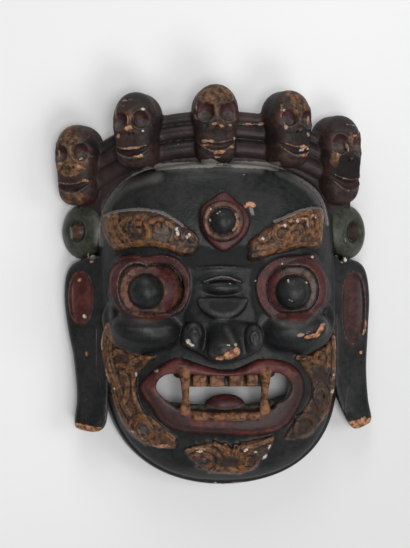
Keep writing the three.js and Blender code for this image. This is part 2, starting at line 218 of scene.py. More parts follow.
def line_distance(x, y, line):
    x, y = np.broadcast_arrays(x, y)
    nearest = np.full(x.shape, 1e9)
    along = np.zeros(x.shape)
    count = len(line) - 1
    for k in range(count):
        (ax, ay), (bx, by) = line[k], line[k + 1]
        ex, ey = bx - ax, by - ay
        t = np.clip(((x - ax) * ex + (y - ay) * ey) / (ex * ex + ey * ey + 1e-9), 0, 1)
        d = (x - ax - t * ex) ** 2 + (y - ay - t * ey) ** 2
        closer = d < nearest
        nearest = np.where(closer, d, nearest)
        along = np.where(closer, (k + t) / count, along)
    return np.sqrt(nearest), along


# Height of the low carving over the plain dome, worked on the plan of the block.
plan_x = xs[:, None].astype(float)
plan_y = ys[None, :].astype(float)
height = np.zeros((len(xs), len(ys)))


def plan_window(low, high):
    a, b = np.searchsorted(xs, [low[0], high[0]])
    c, d = np.searchsorted(ys, [low[1], high[1]])
    return (slice(a, b), slice(c, d)), plan_x[a:b], plan_y[:, c:d]


def raise_patch(loop, rise, edge):
    cuts, x, y = plan_window(loop.min(axis=0) - 2, loop.max(axis=0) + 2)
    inward = np.clip(-patch_distance(x, y, loop) / edge, 0, 1)
    height[cuts] = np.maximum(height[cuts], rise * np.sqrt(1 - (1 - inward) ** 2))


def raise_ridge(line, half, rise, taper=0.0):
    cuts, x, y = plan_window(line.min(axis=0) - half, line.max(axis=0) + half)
    away, along = line_distance(x, y, line)
    width = half * (1 - taper * along)
    height[cuts] += rise * (1 - taper * along) * np.sqrt(np.clip(1 - (away / width) ** 2, 0, 1))


def cut_groove(line, half, depth, taper=0.0):
    cuts, x, y = plan_window(line.min(axis=0) - half, line.max(axis=0) + half)
    away, along = line_distance(x, y, line)
    width = half * (1 - taper * along)
    height[cuts] -= depth * (1 - taper * along) * np.clip(1 - (away / width) ** 2, 0, 1) ** 1.5


# Paint is laid on in areas. Each area is a colour, a shape, and the part of the mask that the shape is tried on.
paint = {name: [] for name in (
    "brown", "skull", "tan", "socket", "green", "rose", "red", "oxblood", "umber", "ochre", "salmon", "crimson",
    "slate", "black", "ring", "gum", "shade", "bone", "stain", "painted_sheen", "grey", "wear", "raw", "fleck")}


def lay(colour, distance, low, high):
    paint[colour].append((distance, np.array(low, float), np.array(high, float)))


def lay_patch(colour, loop, low_z=20.0, grow=0.0):
    low = [*(loop.min(axis=0) - 6), low_z]
    high = [*(loop.max(axis=0) + 6), 200]
    lay(colour, lambda x, y, z: patch_distance(x, y, loop) - grow, low, high)


def lay_line(colour, line, half, low_z=20.0):
    low = [*(line.min(axis=0) - half - 6), low_z]
    high = [*(line.max(axis=0) + half + 6), 200]
    lay(colour, lambda x, y, z: line_distance(x, y, line)[0] - half, low, high)


def egg(centre, radii, lean=0.0):
    c, s = math.cos(lean), math.sin(lean)

    def distance(x, y, z):
        dx, dy, dz = x - centre[0], y - centre[1], z - centre[2]
        u, v, w = (dx * c + dy * s) / radii[0], (dy * c - dx * s) / radii[1], dz / radii[2]
        k = np.sqrt(u * u + v * v + w * w) + 1e-6
        q = np.sqrt((u / radii[0]) ** 2 + (v / radii[1]) ** 2 + (w / radii[2]) ** 2) + 1e-6
        return k * (k - 1) / q
    reach = max(radii) + 8
    return distance, np.array(centre) - reach, np.array(centre) + reach


brow_left = smooth_path([
    (-116, 61.5), (-113.5, 69.5), (-104, 72.5), (-81, 74.2), (-63, 71.8), (-47, 65), (-35, 56), (-25, 48.5), (-22, 40),
    (-24, 32), (-31, 28), (-41, 29), (-54, 34), (-70, 37.5), (-87, 37), (-103, 34), (-109, 44), (-115, 55)], True)
brow_right = smooth_path([
    (25, 28), (26, 40), (39, 52), (55, 62.5), (69, 69), (88, 75), (101, 77), (105, 70), (101.5, 52), (98, 37),
    (79, 37.5), (61, 34), (45, 28.5), (35, 24), (27, 24)], True)
for loop in (brow_left, brow_right):
    raise_patch(loop, 6.5, 5)
    lay_patch("umber", loop, 40, 0.4)
curl_half = 3.1
curl_rise = 2.6
groove_half = 1.5
groove_depth = 1.3
curl_paint_half = 1.9
brow_scrolls = [
    [(-114, 64), (-111, 52), (-107, 42.5), (-102.5, 35.5)],
    [(-108.5, 68), (-106.5, 56), (-102, 44.5), (-97, 38.5)],
    [(-103, 69), (-101.5, 57.5), (-97, 47.5), (-91, 43)],
    [(-90.5, 64), (-94.5, 61.5), (-98.5, 56), (-97, 49.5), (-92, 48), (-89, 52.5), (-92.5, 56.5)],
    [(-90, 59.5), (-86, 64.5), (-80.5, 66.5), (-75, 63), (-72, 55.5), (-71.5, 47.5), (-73, 41)],
    [(-80, 59.5), (-85, 59), (-86, 53), (-81, 52.5)],
    [(-68.5, 61), (-62.5, 64), (-56.5, 62), (-54.5, 56), (-58, 51.5), (-63.5, 53), (-62, 57.5)],
    [(-53, 60), (-47.5, 55.5), (-46.5, 49), (-49, 43.5)],
    [(-42.5, 55), (-41, 50), (-44, 45.5)],
    [(-38, 45.5), (-34.5, 50.5), (-30, 49), (-29.5, 43)],
    [(-103, 35.5), (-89.5, 39), (-77.5, 39.7), (-65.5, 39.5), (-56, 38), (-47, 35.5), (-37.5, 33), (-29, 34)],
    [(60.5, 64), (75, 68.5), (89.5, 72)],
    [(61, 58), (66, 62), (74.5, 64), (83.5, 64), (90, 68)],
    [(84.5, 64), (85.5, 58.5), (85, 52)],
    [(100.5, 74), (101, 59), (99.5, 42.5)],
    [(95.5, 72), (95, 62), (95.5, 51)],
    [(89.5, 61), (89.5, 53), (94, 47), (98, 52)],
    [(64, 57), (57.5, 58), (51.5, 54), (51.5, 46.5), (57.5, 43), (63.5, 45), (65, 51)],
    [(48.5, 51.5), (45.5, 46.5), (41, 43.5), (36, 44.5)],
    [(30.5, 28.5), (47, 32), (64.5, 35.5), (77.5, 39), (94, 40)],
    [(35, 36), (48.5, 38), (62.5, 40.5)],
    [(69, 55), (74.5, 57.5), (80, 54), (80, 47.5), (74, 44)],
]
for points in brow_scrolls:
    line = smooth_path(points)
    raise_ridge(line, curl_half, curl_rise, 0.15)
    cut_groove(line, groove_half, groove_depth)
    lay_line("ochre", line, curl_paint_half, 40)
brow_edges = [
    smooth_path([(-114, 68.5), (-104, 72), (-81, 73.6), (-63, 71.4), (-50, 66.2), (-38, 57.5)]),
    smooth_path([(52, 61.5), (69, 69), (80, 73), (90, 75.5), (100, 76.5)]),
]
# The top edges are painted pale grey, partly rubbed paint and partly painted highlight.
for line in brow_edges:
    raise_ridge(line, 1.9, 1.8)
    lay_line("grey", line, 1.4, 40)
lay_line("grey", smooth_path([(-38, 58), (-28, 50), (-22, 42)]), 0.2, 40)
for points in (
        [(-117, 62), (-113, 50), (-108, 40)], [(-116, 66), (-112, 70), (-108, 66)], [(84, 65), (77, 65), (66, 62)],
        [(84.5, 64), (85.5, 56)], [(102, 74), (102.5, 58), (101, 44)], [(61, 58), (55, 57.5)], [(91, 69), (89, 66)]):
    lay_line("wear", smooth_path(points), 0.7, 40)
for colour, points in (
        ("slate", [(-66, 50), (-60, 58), (-48, 56), (-46, 47), (-54, 42), (-64, 43)]),
        ("stain", [(-45, 62), (-36, 52), (-25, 44), (-24, 34), (-33, 40), (-44, 46)]),
        ("stain", [(-93, 60), (-84, 60), (-78, 50), (-84, 44), (-92, 46)]),
        ("stain", [(-98, 74), (-60, 74), (-44, 64), (-52, 62), (-66, 67), (-96, 68)]),
        ("ochre", [(62, 40), (80, 43), (98, 44), (99, 56), (84, 52), (66, 50)]),
        ("ochre", [(-98, 36), (-80, 39), (-60, 38), (-34, 30), (-30, 34), (-56, 42), (-78, 44), (-98, 42)])):
    lay_patch(colour, smooth_path(points, True), 60)
for x, y in (
        (-44, 54), (-43, 51), (-42.8, 49), (-31.5, 48.5), (-33.5, 46), (74.7, 62.4), (39.5, 44.5), (93.5, 66),
        (61.5, 57.5)):
    lay("fleck", egg((x, y, 99), (1.5, 1.7, 16))[0], (x - 6, y - 6, 70), (x + 6, y + 6, 120))

# ---------------------------------------------------------------------------------------------------------------
# Beard and chin tuft. Flat raised bands left down the sides of the jaw and under the lip, cut with curls and painted
# ochre over umber like the brows. The paint is stained dark in patches and chipped to the wood along the edges.
# ---------------------------------------------------------------------------------------------------------------
beard_left = smooth_path([
    (-110, -37), (-116, -55), (-113, -79), (-105.5, -107), (-98.5, -131), (-87.5, -147), (-70, -159.5),
    (-46, -162), (-42, -158), (-48, -149), (-59, -144), (-69, -132.5), (-80, -113.5), (-83, -94.5),
    (-71, -76), (-64, -69.5), (-91, -65.5), (-102.5, -57)], True)
beard_right = smooth_path([
    (117, -43), (119.5, -58), (119.5, -82), (117.5, -108), (107.5, -132), (96, -146.5), (83, -153),
    (65.5, -153), (75, -135), (89.5, -116), (91.5, -95), (79, -74.5), (98, -65), (109.5, -56.5)], True)
tuft = smooth_path([
    (-32, -163.5), (-21.5, -158.5), (-9, -155.5), (3, -157), (14.8, -162), (25, -156), (53, -150.5),
    (51.5, -162.5), (45, -172), (32.5, -186), (18, -190), (-6, -188), (-20, -179.5), (-30, -171.5)], True)
for loop in (beard_left, beard_right, tuft):
    raise_patch(loop, 3.6, 3.0)
    lay_patch("umber", loop, 10, 0.3)
beard_scrolls = [
    [(-110, -39), (-114.5, -54), (-114, -67), (-110.5, -85), (-105, -105.5), (-100, -123.5), (-94, -136), (-85, -148),
     (-72, -157.5)],
    [(-106.5, -50), (-109, -60), (-108.5, -71), (-105, -87), (-99, -105), (-95, -119), (-89, -130)],
    [(-107, -70), (-101, -65.5), (-92, -66.5), (-86, -72.5), (-90, -79), (-100, -79.5)],
    [(-90, -84), (-85, -76), (-78, -71.5), (-70, -70.5)],
    [(-96, -86), (-91, -97.5), (-92, -110.5), (-95, -117)],
    [(-84.5, -85), (-84.5, -98), (-83, -111.5), (-79, -123)],
    [(-88, -142), (-85, -133), (-77, -129.5), (-69.5, -131.5), (-61.5, -138), (-53, -146), (-45, -152)],
    [(-80, -149), (-82.5, -141), (-78, -135.5), (-71.5, -136.5), (-67, -142.5), (-68.5, -150), (-76, -153),
     (-62, -158)],
    [(114.5, -52), (117, -71), (117, -85.5), (115.5, -96)],
    [(108.5, -57), (110, -72.5), (109.5, -87)],
    [(77, -71.5), (84, -71), (92.5, -74), (97, -80), (92, -86)],
    [(94.5, -72), (97.5, -67), (103, -70), (102.5, -76), (97, -76)],
    [(101, -99), (97, -105.5), (97, -113), (103.5, -123.5), (108.5, -116), (107.5, -106), (102, -99)],
    [(102.5, -105), (101.5, -111.5), (104, -117)],
    [(114.5, -101), (114.5, -114), (112, -125), (105, -134)],
    [(77.5, -132), (85, -129.5), (93, -132.5), (96.5, -140), (92.5, -148), (83.5, -151), (76.5, -146), (77.5, -138)],
    [(-31.5, -164), (-20, -161), (-7, -164), (0, -170.5), (0, -178), (-7, -186)],
    [(-27, -171), (-19, -167.5), (-10, -170), (-6.5, -176), (-12.5, -182), (-20, -180.5), (-21, -174.5), (-15.5, -173)],
    [(-4, -156.5), (3, -162), (8, -169)], [(6, -159), (10, -163.5), (12, -169)],
    [(17, -160), (15.5, -164.5), (14.5, -169)], [(23.5, -157.5), (19, -163.5), (18, -170)],
    [(22, -176), (23.5, -169), (30, -166), (36.5, -168.5), (39, -176), (35, -183), (27.5, -184.5), (22.5, -181)],
    [(28, -178), (29, -173), (33, -174), (32.5, -178.5)],
    [(24, -161.5), (34.5, -159.5), (45.5, -155.5), (52.5, -152)],
    [(40, -167), (47, -163.5), (51.5, -158)],
    [(-8, -186.5), (4, -184.5), (14, -185.5), (23, -188.5)],
]
for points in beard_scrolls:
    line = smooth_path(points)
    raise_ridge(line, curl_half, curl_rise, 0.1)
    cut_groove(line, groove_half, groove_depth)
    lay_line("ochre", line, curl_paint_half, 10)
for points in ([(-112, -41), (-116, -56), (-115.5, -68)], [(-106, -105), (-102, -121), (-96, -134)],
               [(-112, -84), (-108, -97)], [(116.5, -52), (118.5, -66)], [(-32, -163.5), (-24, -161.5), (-14, -162)],
               [(24, -162.5), (30, -161)]):
    lay_line("wear", smooth_path(points), 0.7, 10)
for colour, low_z, points in (
        ("stain", 10, [(92, -80), (112, -84), (114, -110), (104, -132), (90, -130), (92, -110)]),
        ("stain", 10, [(74, -130), (96, -128), (102, -142), (88, -153), (68, -152)]),
        ("stain", 10, [(-31, -168), (-20, -170), (-12, -176), (-14, -186), (-26, -176)]),
        ("stain", 10, [(28, -166), (38, -160), (52, -156), (46, -174), (36, -184), (30, -178)]),
        ("stain", 10, [(-8, -172), (4, -168), (18, -170), (18, -180), (2, -182)]),
        ("ochre", 10, [(-10, -184), (6, -181), (24, -184), (22, -189), (2, -188.5), (-10, -187)]),
        ("slate", 20, [(-80, -140), (-76, -136.5), (-70, -138.5), (-70, -147), (-77, -149)]),
        ("slate", 20, [(-24, -173), (-14, -171), (-9, -177), (-18, -180)]),
        ("raw", 20, [(-66, -158.6), (-57, -157.8), (-48, -159), (-52, -161.4), (-62, -161.4)])):
    lay_patch(colour, smooth_path(points, True), low_z)

# ---------------------------------------------------------------------------------------------------------------
# Lips. One broad rounded band left standing round the open mouth, painted dark red. The lower lip and the corners are
# painted a darker brown.
# ---------------------------------------------------------------------------------------------------------------
lip_outer = smooth_path([
    (-77.5, -97), (-63.5, -83), (-49.5, -74), (-38, -72), (-23, -77), (-4, -82.5), (15, -82.5), (27, -77.5),
    (41.5, -72.5), (65, -76), (78, -85.5), (84, -99.5), (81, -116.5), (70, -135), (54, -145.5), (30.5, -148.5),
    (-1, -147.5), (-29, -145.5), (-46.5, -141), (-59, -133), (-68, -119), (-76, -108)], True)
raise_patch(lip_outer, 9, 8)
lay_patch("red", lip_outer, 40, 0.3)
for grow, points in (
        (0.5, [(30, -128), (50, -122), (66, -108), (70, -92), (82, -90), (84, -108), (78, -126), (66, -137),
               (40, -144), (14, -144), (12, -137)]),
        (0.5, [(-72, -102), (-60, -110), (-46, -122), (-36, -126), (-26, -137), (0, -140), (0, -146),
               (-40, -143), (-62, -128)]),
        (3.0, [(-62, -110), (-50, -119), (-38, -124), (-34, -132), (-46, -136), (-58, -126)])):
    lay_patch("stain", smooth_path(points, True), 40, grow)

# ---------------------------------------------------------------------------------------------------------------
# Lids. Each eye sits in a squared lid, a flat raised skin of wood with a thin proud edge that is painted pale grey,
# partly rubbed paint and partly painted highlight. Painted shade darkens the hollows between the brows, the nose and
# the lids, and the foot of each lid is painted a darker brown.
# ---------------------------------------------------------------------------------------------------------------
lid_left = smooth_path([
    (-108.5, 8), (-105, 20), (-98, 27), (-84, 29), (-74, 26.5), (-60, 29), (-46, 26), (-36, 17.5), (-31, 6),
    (-31.5, -9.5), (-37, -22.5), (-46, -29), (-60, -34.5), (-78, -35.5), (-94, -30), (-103, -21), (-108, -8)], True)
lid_right = smooth_path([
    (59, 26.5), (76, 28), (92, 29.5), (98.5, 21.5), (103, 10), (104.5, -4), (102, -18), (96, -25), (85.5, -33.5),
    (70.5, -37), (55, -34.5), (43.5, -26), (36, -13.5), (34, 0), (37, 11), (46.5, 21)], True)
# Painted shade between the brows, beside the nose's bridge, on its plate and down the right lid's inner edge.
for grow, points in (
        (0.0, [(-38, 30), (-22, 39), (0, 34), (22, 39), (38, 27), (30, 16), (0, 18), (-29, 16), (-38, 20)]),
        (0.0, [(30, 20), (44, 24), (36, 8), (33, -2), (36, -14), (43, -27), (34, -32), (28, -10)]),
        (-2.0, [(-16, -15), (2, -14), (19, -15), (16, -25), (2, -29), (-12, -25)])):
    lay_patch("shade", smooth_path(points, True), 60, grow)
lay_line("shade", smooth_path([(43, 12), (39.5, -4), (43, -19), (52, -28)]), -0.6, 60)
# Each lid's proud edge is painted pale grey, partly rubbed paint and partly painted highlight.
for loop in (lid_left, lid_right):
    raise_patch(loop, 2.4, 1.4)
    edge = np.vstack([loop, loop[:1]])
    raise_ridge(edge, 1.7, 1.1)
    lay_line("grey", edge, -0.8, 40)
for points in (
        [(-110, -10), (-100, -12), (-93, -26), (-70, -33), (-44, -27), (-46, -34), (-74, -38), (-100, -34)],
        [(42, -22), (56, -30), (72, -33), (88, -28), (90, -34), (70, -39), (50, -36)]):
    lay_patch("stain", smooth_path(points, True), 40)

# ---------------------------------------------------------------------------------------------------------------
# The face. The block is cut to its plain dome with the low carving left proud on it, and the crown's wall rises behind
# the forehead. A rounded edge runs over the forehead, with a painted grey highlight along its top and a painted pale
# sheen down its sides, and a thin groove runs round the jaw.
# ---------------------------------------------------------------------------------------------------------------
crown_half_width = 137.0
crown_top_y = 166.0
crown_bottom_y = 62.0
crown_front = 66.0
crown_sweep = 36.0
crown_drop = 26.0


def crown_z(x):
    return crown_front - crown_sweep * (np.abs(x) / crown_half_width) ** 2


def crown_y(x):
    return crown_top_y - crown_drop * (np.abs(x) / 110) ** 2.6


forehead_edge = smooth_path([
    (-118, 40), (-117.5, 62), (-112.5, 79), (-103.5, 93.5), (-92, 104.5), (-80.5, 111.5), (-61, 116.5), (0, 118),
    (52, 117.5), (63.5, 115.5), (78, 108), (97, 95), (105.5, 81), (109.5, 60)])
raise_ridge(forehead_edge, 2.6, 2.0)
# A painted grey highlight runs along the forehead's rounded edge.
lay_line("grey", forehead_edge, 0.8, 30)
# Painted pale sheen down the forehead's sides and over its top, and painted grey highlights along its top edge.
for colour, half, points in (
        ("painted_sheen", 4.5, [(-117, 44), (-116, 64), (-110, 80), (-99, 93), (-86, 101), (-62, 106)]),
        ("painted_sheen", 3.5, [(60, 112), (74, 106), (92, 94), (102, 80), (107, 64)]),
        ("painted_sheen", 1.5, [(-50, 113), (-10, 114), (40, 113)]),
        ("grey", 3.8, [(-60, 116.5), (-30, 118), (-8, 118.4)]),
        ("grey", 4.2, [(14, 118.6), (40, 118.3), (56, 116.6)])):
    lay_line(colour, smooth_path(points), half, 40)
rim_turn = chin_y + (-112 - chin_y) * np.linspace(1, 0, 26) ** 2
rim_half = half_width(rim_turn) * 0.955
rim_left = np.stack([midline(rim_turn) - rim_half, jaw_y + (rim_turn - jaw_y) * 0.968], axis=1)
rim_right = np.stack([midline(rim_turn) + rim_half, jaw_y + (rim_turn - jaw_y) * 0.968], axis=1)
cut_groove(np.vstack([rim_left, rim_right[::-1]]), 2.2, 1.6)


def face_block(margin, low_carving):
    u_scale = 1 - margin / np.maximum(half_width(plan_y), margin + 1)
    middle = midline(plan_y)
    front = surface(middle + (plan_x - middle) / u_scale, plan_y) - margin
    slope = np.hypot(*np.gradient(front, cell))
    slope = np.sqrt(1 + np.minimum(slope, 6) ** 2)
    if low_carving:
        front = front + height * np.minimum(slope, 2.0)
    outline = np.abs(plan_x - middle) - half_width(plan_y) + margin
    lean = np.hypot(*np.gradient(outline, cell))
    outline = outline / np.maximum(lean, 1)
    z = zs[None, None, :]
    top = (z - front[:, :, None]) / slope[:, :, None]
    low_edge = (chin_y + margin) - plan_y[:, :, None]
    sides = np.maximum(outline[:, :, None], low_edge)
    sides = np.maximum(sides, (plan_y - forehead_y)[:, :, None] + 0 * plan_x[:, :, None])
    return (-blend_least(-top, -sides, 3)).astype(np.float32)


def crown_block(margin):
    x, y, z = xs[:, None, None], ys[None, :, None], zs[None, None, :]
    slope = math.sqrt(1 + (2 * crown_sweep / crown_half_width) ** 2 * 0.3)
    front = (z - crown_z(x) + margin) / slope
    edge = (y - crown_y(x) + margin) / 1.2
    sides = np.maximum(np.abs(x) - crown_half_width + margin, crown_bottom_y - y)
    body = np.maximum(front + 0 * y, np.maximum(edge, sides) + 0 * z)
    return body.astype(np.float32)


wood[:] = face_block(0, True)
wood[:] = blend_least(wood, crown_block(0), 2)

# ---------------------------------------------------------------------------------------------------------------
# Crown band. Three rounded mouldings run round the crown's wall behind the skulls, cut from the same block. The wall
# and the mouldings are painted a dark red-brown down to the edge of the black forehead.
# ---------------------------------------------------------------------------------------------------------------
def window(low, high):
    cuts = []
    for axis, line in enumerate((xs, ys, zs)):
        first = int(np.searchsorted(line, low[axis]))
        last = int(np.searchsorted(line, high[axis]))
        cuts.append(slice(first, last))
    x = xs[cuts[0]][:, None, None]
    y = ys[cuts[1]][None, :, None]
    z = zs[cuts[2]][None, None, :]
    return tuple(cuts), x, y, z


def join(shape, low, high, soft=2.0):
    cuts, x, y, z = window(low, high)
    wood[cuts] = blend_least(wood[cuts], shape(x, y, z), soft)


def bar(points, radii, flat=1.0):
    points = np.array(points, float)
    radii = np.broadcast_to(radii, len(points))

    def distance(x, y, z):
        best = None
        for a, b, ra, rb in zip(points[:-1], points[1:], radii[:-1], radii[1:]):
            e = b - a
            t = ((x - a[0]) * e[0] + (y - a[1]) * e[1] + (z - a[2]) * e[2]) / max(float(e @ e), 1e-9)
            t = np.clip(t, 0, 1)
            d = np.sqrt((x - a[0] - t * e[0]) ** 2 + (y - a[1] - t * e[1]) ** 2
                        + ((z - a[2] - t * e[2]) * flat) ** 2) - (ra + (rb - ra) * t)
            best = d if best is None else np.minimum(best, d)
        return best
    reach = radii.max() + 6
    return distance, points.min(axis=0) - reach, points.max(axis=0) + reach


band_x = np.linspace(-128, 128, 33)
for level, radius in ((166.5, 6.0), (152.8, 8.2), (136, 9.2)):
    points = [(x, level + crown_y(x) - crown_top_y, crown_z(x) - 3.2) for x in band_x]
    join(*bar(points, radius), soft=0.8)
black_dome = smooth_path([
    (-119, 30), (-119.5, 64), (-114, 80), (-105, 95), (-93, 106), (-81, 113), (-61, 118.5), (0, 119.5),
    (52, 119.5), (64, 117.5), (79, 110), (98, 97), (107, 82), (111, 70), (121, 30)], True)
lay("brown", lambda x, y, z: np.maximum(-patch_distance(x, y, black_dome), 74 - y) + 0 * z,
    (-170, 60, -1), (170, 210, 150))

# ---------------------------------------------------------------------------------------------------------------
# Skulls. Five dry skulls stand on the band, cut from the same block. Each is a round dome over a squared jaw, with
# dished sockets, a small nose and two thin smiling lips, painted ochre over dark brown and worn to bare wood.
# ---------------------------------------------------------------------------------------------------------------
def carve(shape, low, high, soft=1.5):
    cuts, x, y, z = window(low, high)
    wood[cuts] = -blend_least(-wood[cuts], shape(x, y, z), soft)


socket_x = 11.3
socket_y = 1
socket_ring = 9.9
tooth_gap_half = 16.5


def skull(x0, y0, z0, turn, lean, jaw, dome, chips=(), size=1.0):
    ct, st = math.cos(turn), math.sin(turn)
    cl, sl = math.cos(lean), math.sin(lean)
    stretch = jaw / 48.5

    def local(x, y, z):
        dx, dy, dz = (x - x0) / size, (y - y0) / size, (z - z0) / size
        u = dx * cl + dy * sl
        v = dy * cl - dx * sl
        v = np.where(v < 0, v / stretch, v)
        return u * ct - dz * st, v, u * st + dz * ct

    def part(centre, radii):
        c = np.array(centre, float)
        r = np.array(radii, float)

        def distance(x, y, z):
            u, v, w = local(x, y, z)
            k = np.sqrt(((u - c[0]) / r[0]) ** 2 + ((v - c[1]) / r[1]) ** 2 + ((w - c[2]) / r[2]) ** 2)
            return (k - 1) * r.min() * size
        return distance

    def outline(u, v):
        across = 22.6 - 2.6 * np.clip((-v - 5) / 12, 0, 1)
        middle = np.clip(v, -28, 0)
        reach = np.where(v > 0, 30.0, 20.5)
        power = 2.15 + 0.75 * np.clip(-v / 14, 0, 1)
        return (np.abs(u) / across) ** power + (np.abs(v - middle) / reach) ** power, power

    def head(x, y, z):
        u, v, w = local(x, y, z)
        k, power = outline(u, v)
        return ((k + (np.abs(w) / 20) ** power) ** (1 / power) - 1) * 19 * size

    def front(u, v):
        k, power = outline(u, v)
        return 20 * np.clip(1 - k, 0.02, 1) ** (1 / power)

    def ridge(curve, ends, half, sink=0.0, taper=0.0):
        def distance(x, y, z):
            u, v, w = local(x, y, z)
            away = np.hypot(v - curve(u), (w - front(u, v) + sink) * 0.8)
            over = np.maximum(np.abs(u - sum(ends) / 2) - (ends[1] - ends[0]) / 2, 0)
            return (np.hypot(away, over) - half * (1 - taper * np.abs(u) / 20)) * size
        return distance

    def hoop(cu, cv, radius, half, sink=0.0):
        def distance(x, y, z):
            u, v, w = local(x, y, z)
            away = np.hypot(np.hypot(u - cu, v - cv) - radius, (w - front(u, v) + sink) * 0.8)
            return (away - half) * size
        return distance

    def chip(cu, cv, ru, rv):
        def distance(x, y, z):
            u, v, w = local(x, y, z)
            away = ((u - cu) / ru) ** 2 + ((v - cv) / rv) ** 2 + (np.minimum(w - 4, 0) / 3) ** 2
            return (np.sqrt(away) - 1) * min(ru, rv)
        return distance

    def brow(u):
        return 15.2 - 0.045 * (np.abs(u) - 9) ** 2

    def upper_lip(u):
        return -28.7 + 0.0135 * u ** 2

    def lower_lip(u):
        return -38.2 + 0.029 * u ** 2

    def between(u):
        return -33.3 + 0.021 * u ** 2

    low = np.array([x0, y0, z0]) - np.array([38, jaw + 10, 36]) * size
    high = np.array([x0, y0, z0]) + np.array([38, 36, 36]) * size
    cranium = part((0, 6.5, -11), (23.2, 23.4, 19))
    join(cranium, low, high, 3.0)
    join(head, low, high, 2.2)
    lay("skull", lambda x, y, z: np.minimum(head(x, y, z), cranium(x, y, z)) - 2.5, low, high)
    join(ridge(brow, (-18, 18), 1.3, 0.3), low, high, 1.6)
    for hand in (-1, 1):
        socket = hand * socket_x

        def cheek(u, h=hand):
            return -16.6 + 0.09 * (u - 11.2 * h) ** 2

        def lower_rim(x, y, z, socket=socket):
            return np.maximum(hoop(socket, socket_y, socket_ring, 0.1, -0.6)(x, y, z), local(x, y, z)[1] + 3.5)
        join(hoop(socket, socket_y, socket_ring, 0.9, 0.5), low, high, 1.4)
        carve(part((socket, socket_y, 20.0), (9.0, 9.0, 9.0)), low, high, 0.8)
        carve(part((hand * 11.2, -12.8, 19.6), (3.2, 2.6, 2.2)), low, high, 0.8)
        join(ridge(cheek, sorted((hand * 7.2, hand * 15.2)), 0.8, 0.2), low, high, 0.8)
        # Painted light: each dark red socket is painted paler slate on its lower wall and pale grey on its lower rim.
        lay("socket", part((socket, 1.2, 14), (8.8, 8.6, 9)), low, high)
        lay("slate", part((socket, -2.8, 14), (6.8, 5.0, 9)), low, high)
        lay("grey", lower_rim, low, high)
    join(part((0, 2, 17.5), (2.4, 11, 4.2)), low, high, 1.5)
    join(part((0.4, -10.8, 18.0), (4.6, 3.6, 4.6)), low, high, 1.2)
    for hand in (-1, 1):
        carve(part((0.4 + hand * 2.1, -13.2, 21.0), (1.3, 1.4, 3.2)), low, high, 0.5)
    carve(ridge(between, (-tooth_gap_half, tooth_gap_half), 3.3, -0.7, 0.45), low, high, 1.0)
    join(ridge(upper_lip, (-18.5, 18.5), 1.2, 0.1, 0.3), low, high, 0.6)
    join(ridge(lower_lip, (-18.5, 18.5), 1.5, 0.1, 0.3), low, high, 0.6)
    carve(ridge(lambda u: -42.4 + 0.02 * u ** 2, (-10, 10), 1.1, 0.0, 0.3), low, high, 1.2)
    lay("socket", ridge(between, (-16, 16), 2.4, 0, 0.5), low, high)
    lay(dome, part((0, 19, 12), (19, 13, 15)), low, high)
    lay("tan", part((0, 5, 17), (3.4, 11, 9)), low, high)
    lay("wear", ridge(upper_lip, (-15, 15), 0.2, -0.6), low, high)
    lay("wear", ridge(lower_lip, (-15, 15), 0.2, -0.6), low, high)
    lay("grey", ridge(brow, (-16, 16), 0.2, -0.6), low, high)
    for kind, *place in chips:
        lay(kind, chip(*place), low, high)


# The shade chips are painted shade: under the middle skull's nose and jaw, and on the outer right skull's face.
skull(-4.5, 167, 80, 0, 0, 48.5, "tan", (
    ("shade", 0, -19.5, 13, 5), ("shade", 0, -46, 16, 4.5), ("raw", 2, -38.2, 6.5, 1.8),
    ("wear", -10, -27.6, 6, 1.2), ("wear", 14.5, -33, 2.8, 1.5), ("raw", 4.4, -13, 2.2, 1.4),
    ("wear", -3, -11, 2.0, 1.2), ("fleck", 17.2, -24.5, 0.9, 1.3), ("wear", 0, -42.8, 3.4, 0.8), ("tan", 0, 23, 12, 7),
    ("wear", -19.5, 7, 0.8, 3), ("wear", -20.5, -3, 0.8, 3), ("raw", -9, -31.5, 4, 1.2), ("wear", 13, -12, 1.4, 1.0)))
skull(-82, 160, 68, -0.35, 0.04, 46, "stain", (
    ("tan", -6, 9, 8, 7), ("wear", -16, 12, 1.0, 5), ("wear", -3, 21, 5, 0.7),
    ("raw", -1, -7.5, 3.6, 2.6), ("wear", -2, 1, 1.0, 4), ("wear", 1, -28, 9, 1.0), ("wear", -13, -15, 2.2, 2.2),
    ("fleck", 13, 11, 1.6, 0.9), ("fleck", 12, -11, 1.2, 1.2), ("raw", 8, -37, 4, 1.0), ("fleck", 10, -35.5, 1.2, 1.0)))
skull(69, 163, 68, 0.45, -0.04, 46, "tan", (
    ("stain", -15, 18, 9, 9), ("raw", 9, 27, 4.4, 1.4),
    ("raw", 6, -28.6, 4.0, 1.9), ("raw", 8, -37, 5.5, 1.5), ("tan", 6, 20, 9, 6), ("wear", -17, 8, 0.6, 4),
    ("wear", -14, -8, 1.4, 3.6), ("wear", 12, -15, 2.0, 2.6), ("fleck", 14, -29, 1.8, 1.4), ("tan", -8, 12, 8, 10)))
skull(-140, 131, 34, -0.4, 0.06, 51, "tan", (
    ("stain", 12, 24, 12, 6), ("wear", -15, 3, 0.8, 7), ("wear", -4, 4, 0.8, 6),
    ("tan", 0, -6, 18, 16), ("tan", 0, -42, 14, 6), ("wear", -12, -8.5, 3.4, 1.4), ("wear", -16, -14, 1.2, 2.2),
    ("fleck", 10, -5.5, 1.8, 1.1), ("raw", 9, -13, 2.8, 1.2), ("raw", 14, -26.5, 2.6, 1.1), ("crimson", 13, -44, 5, 3)))
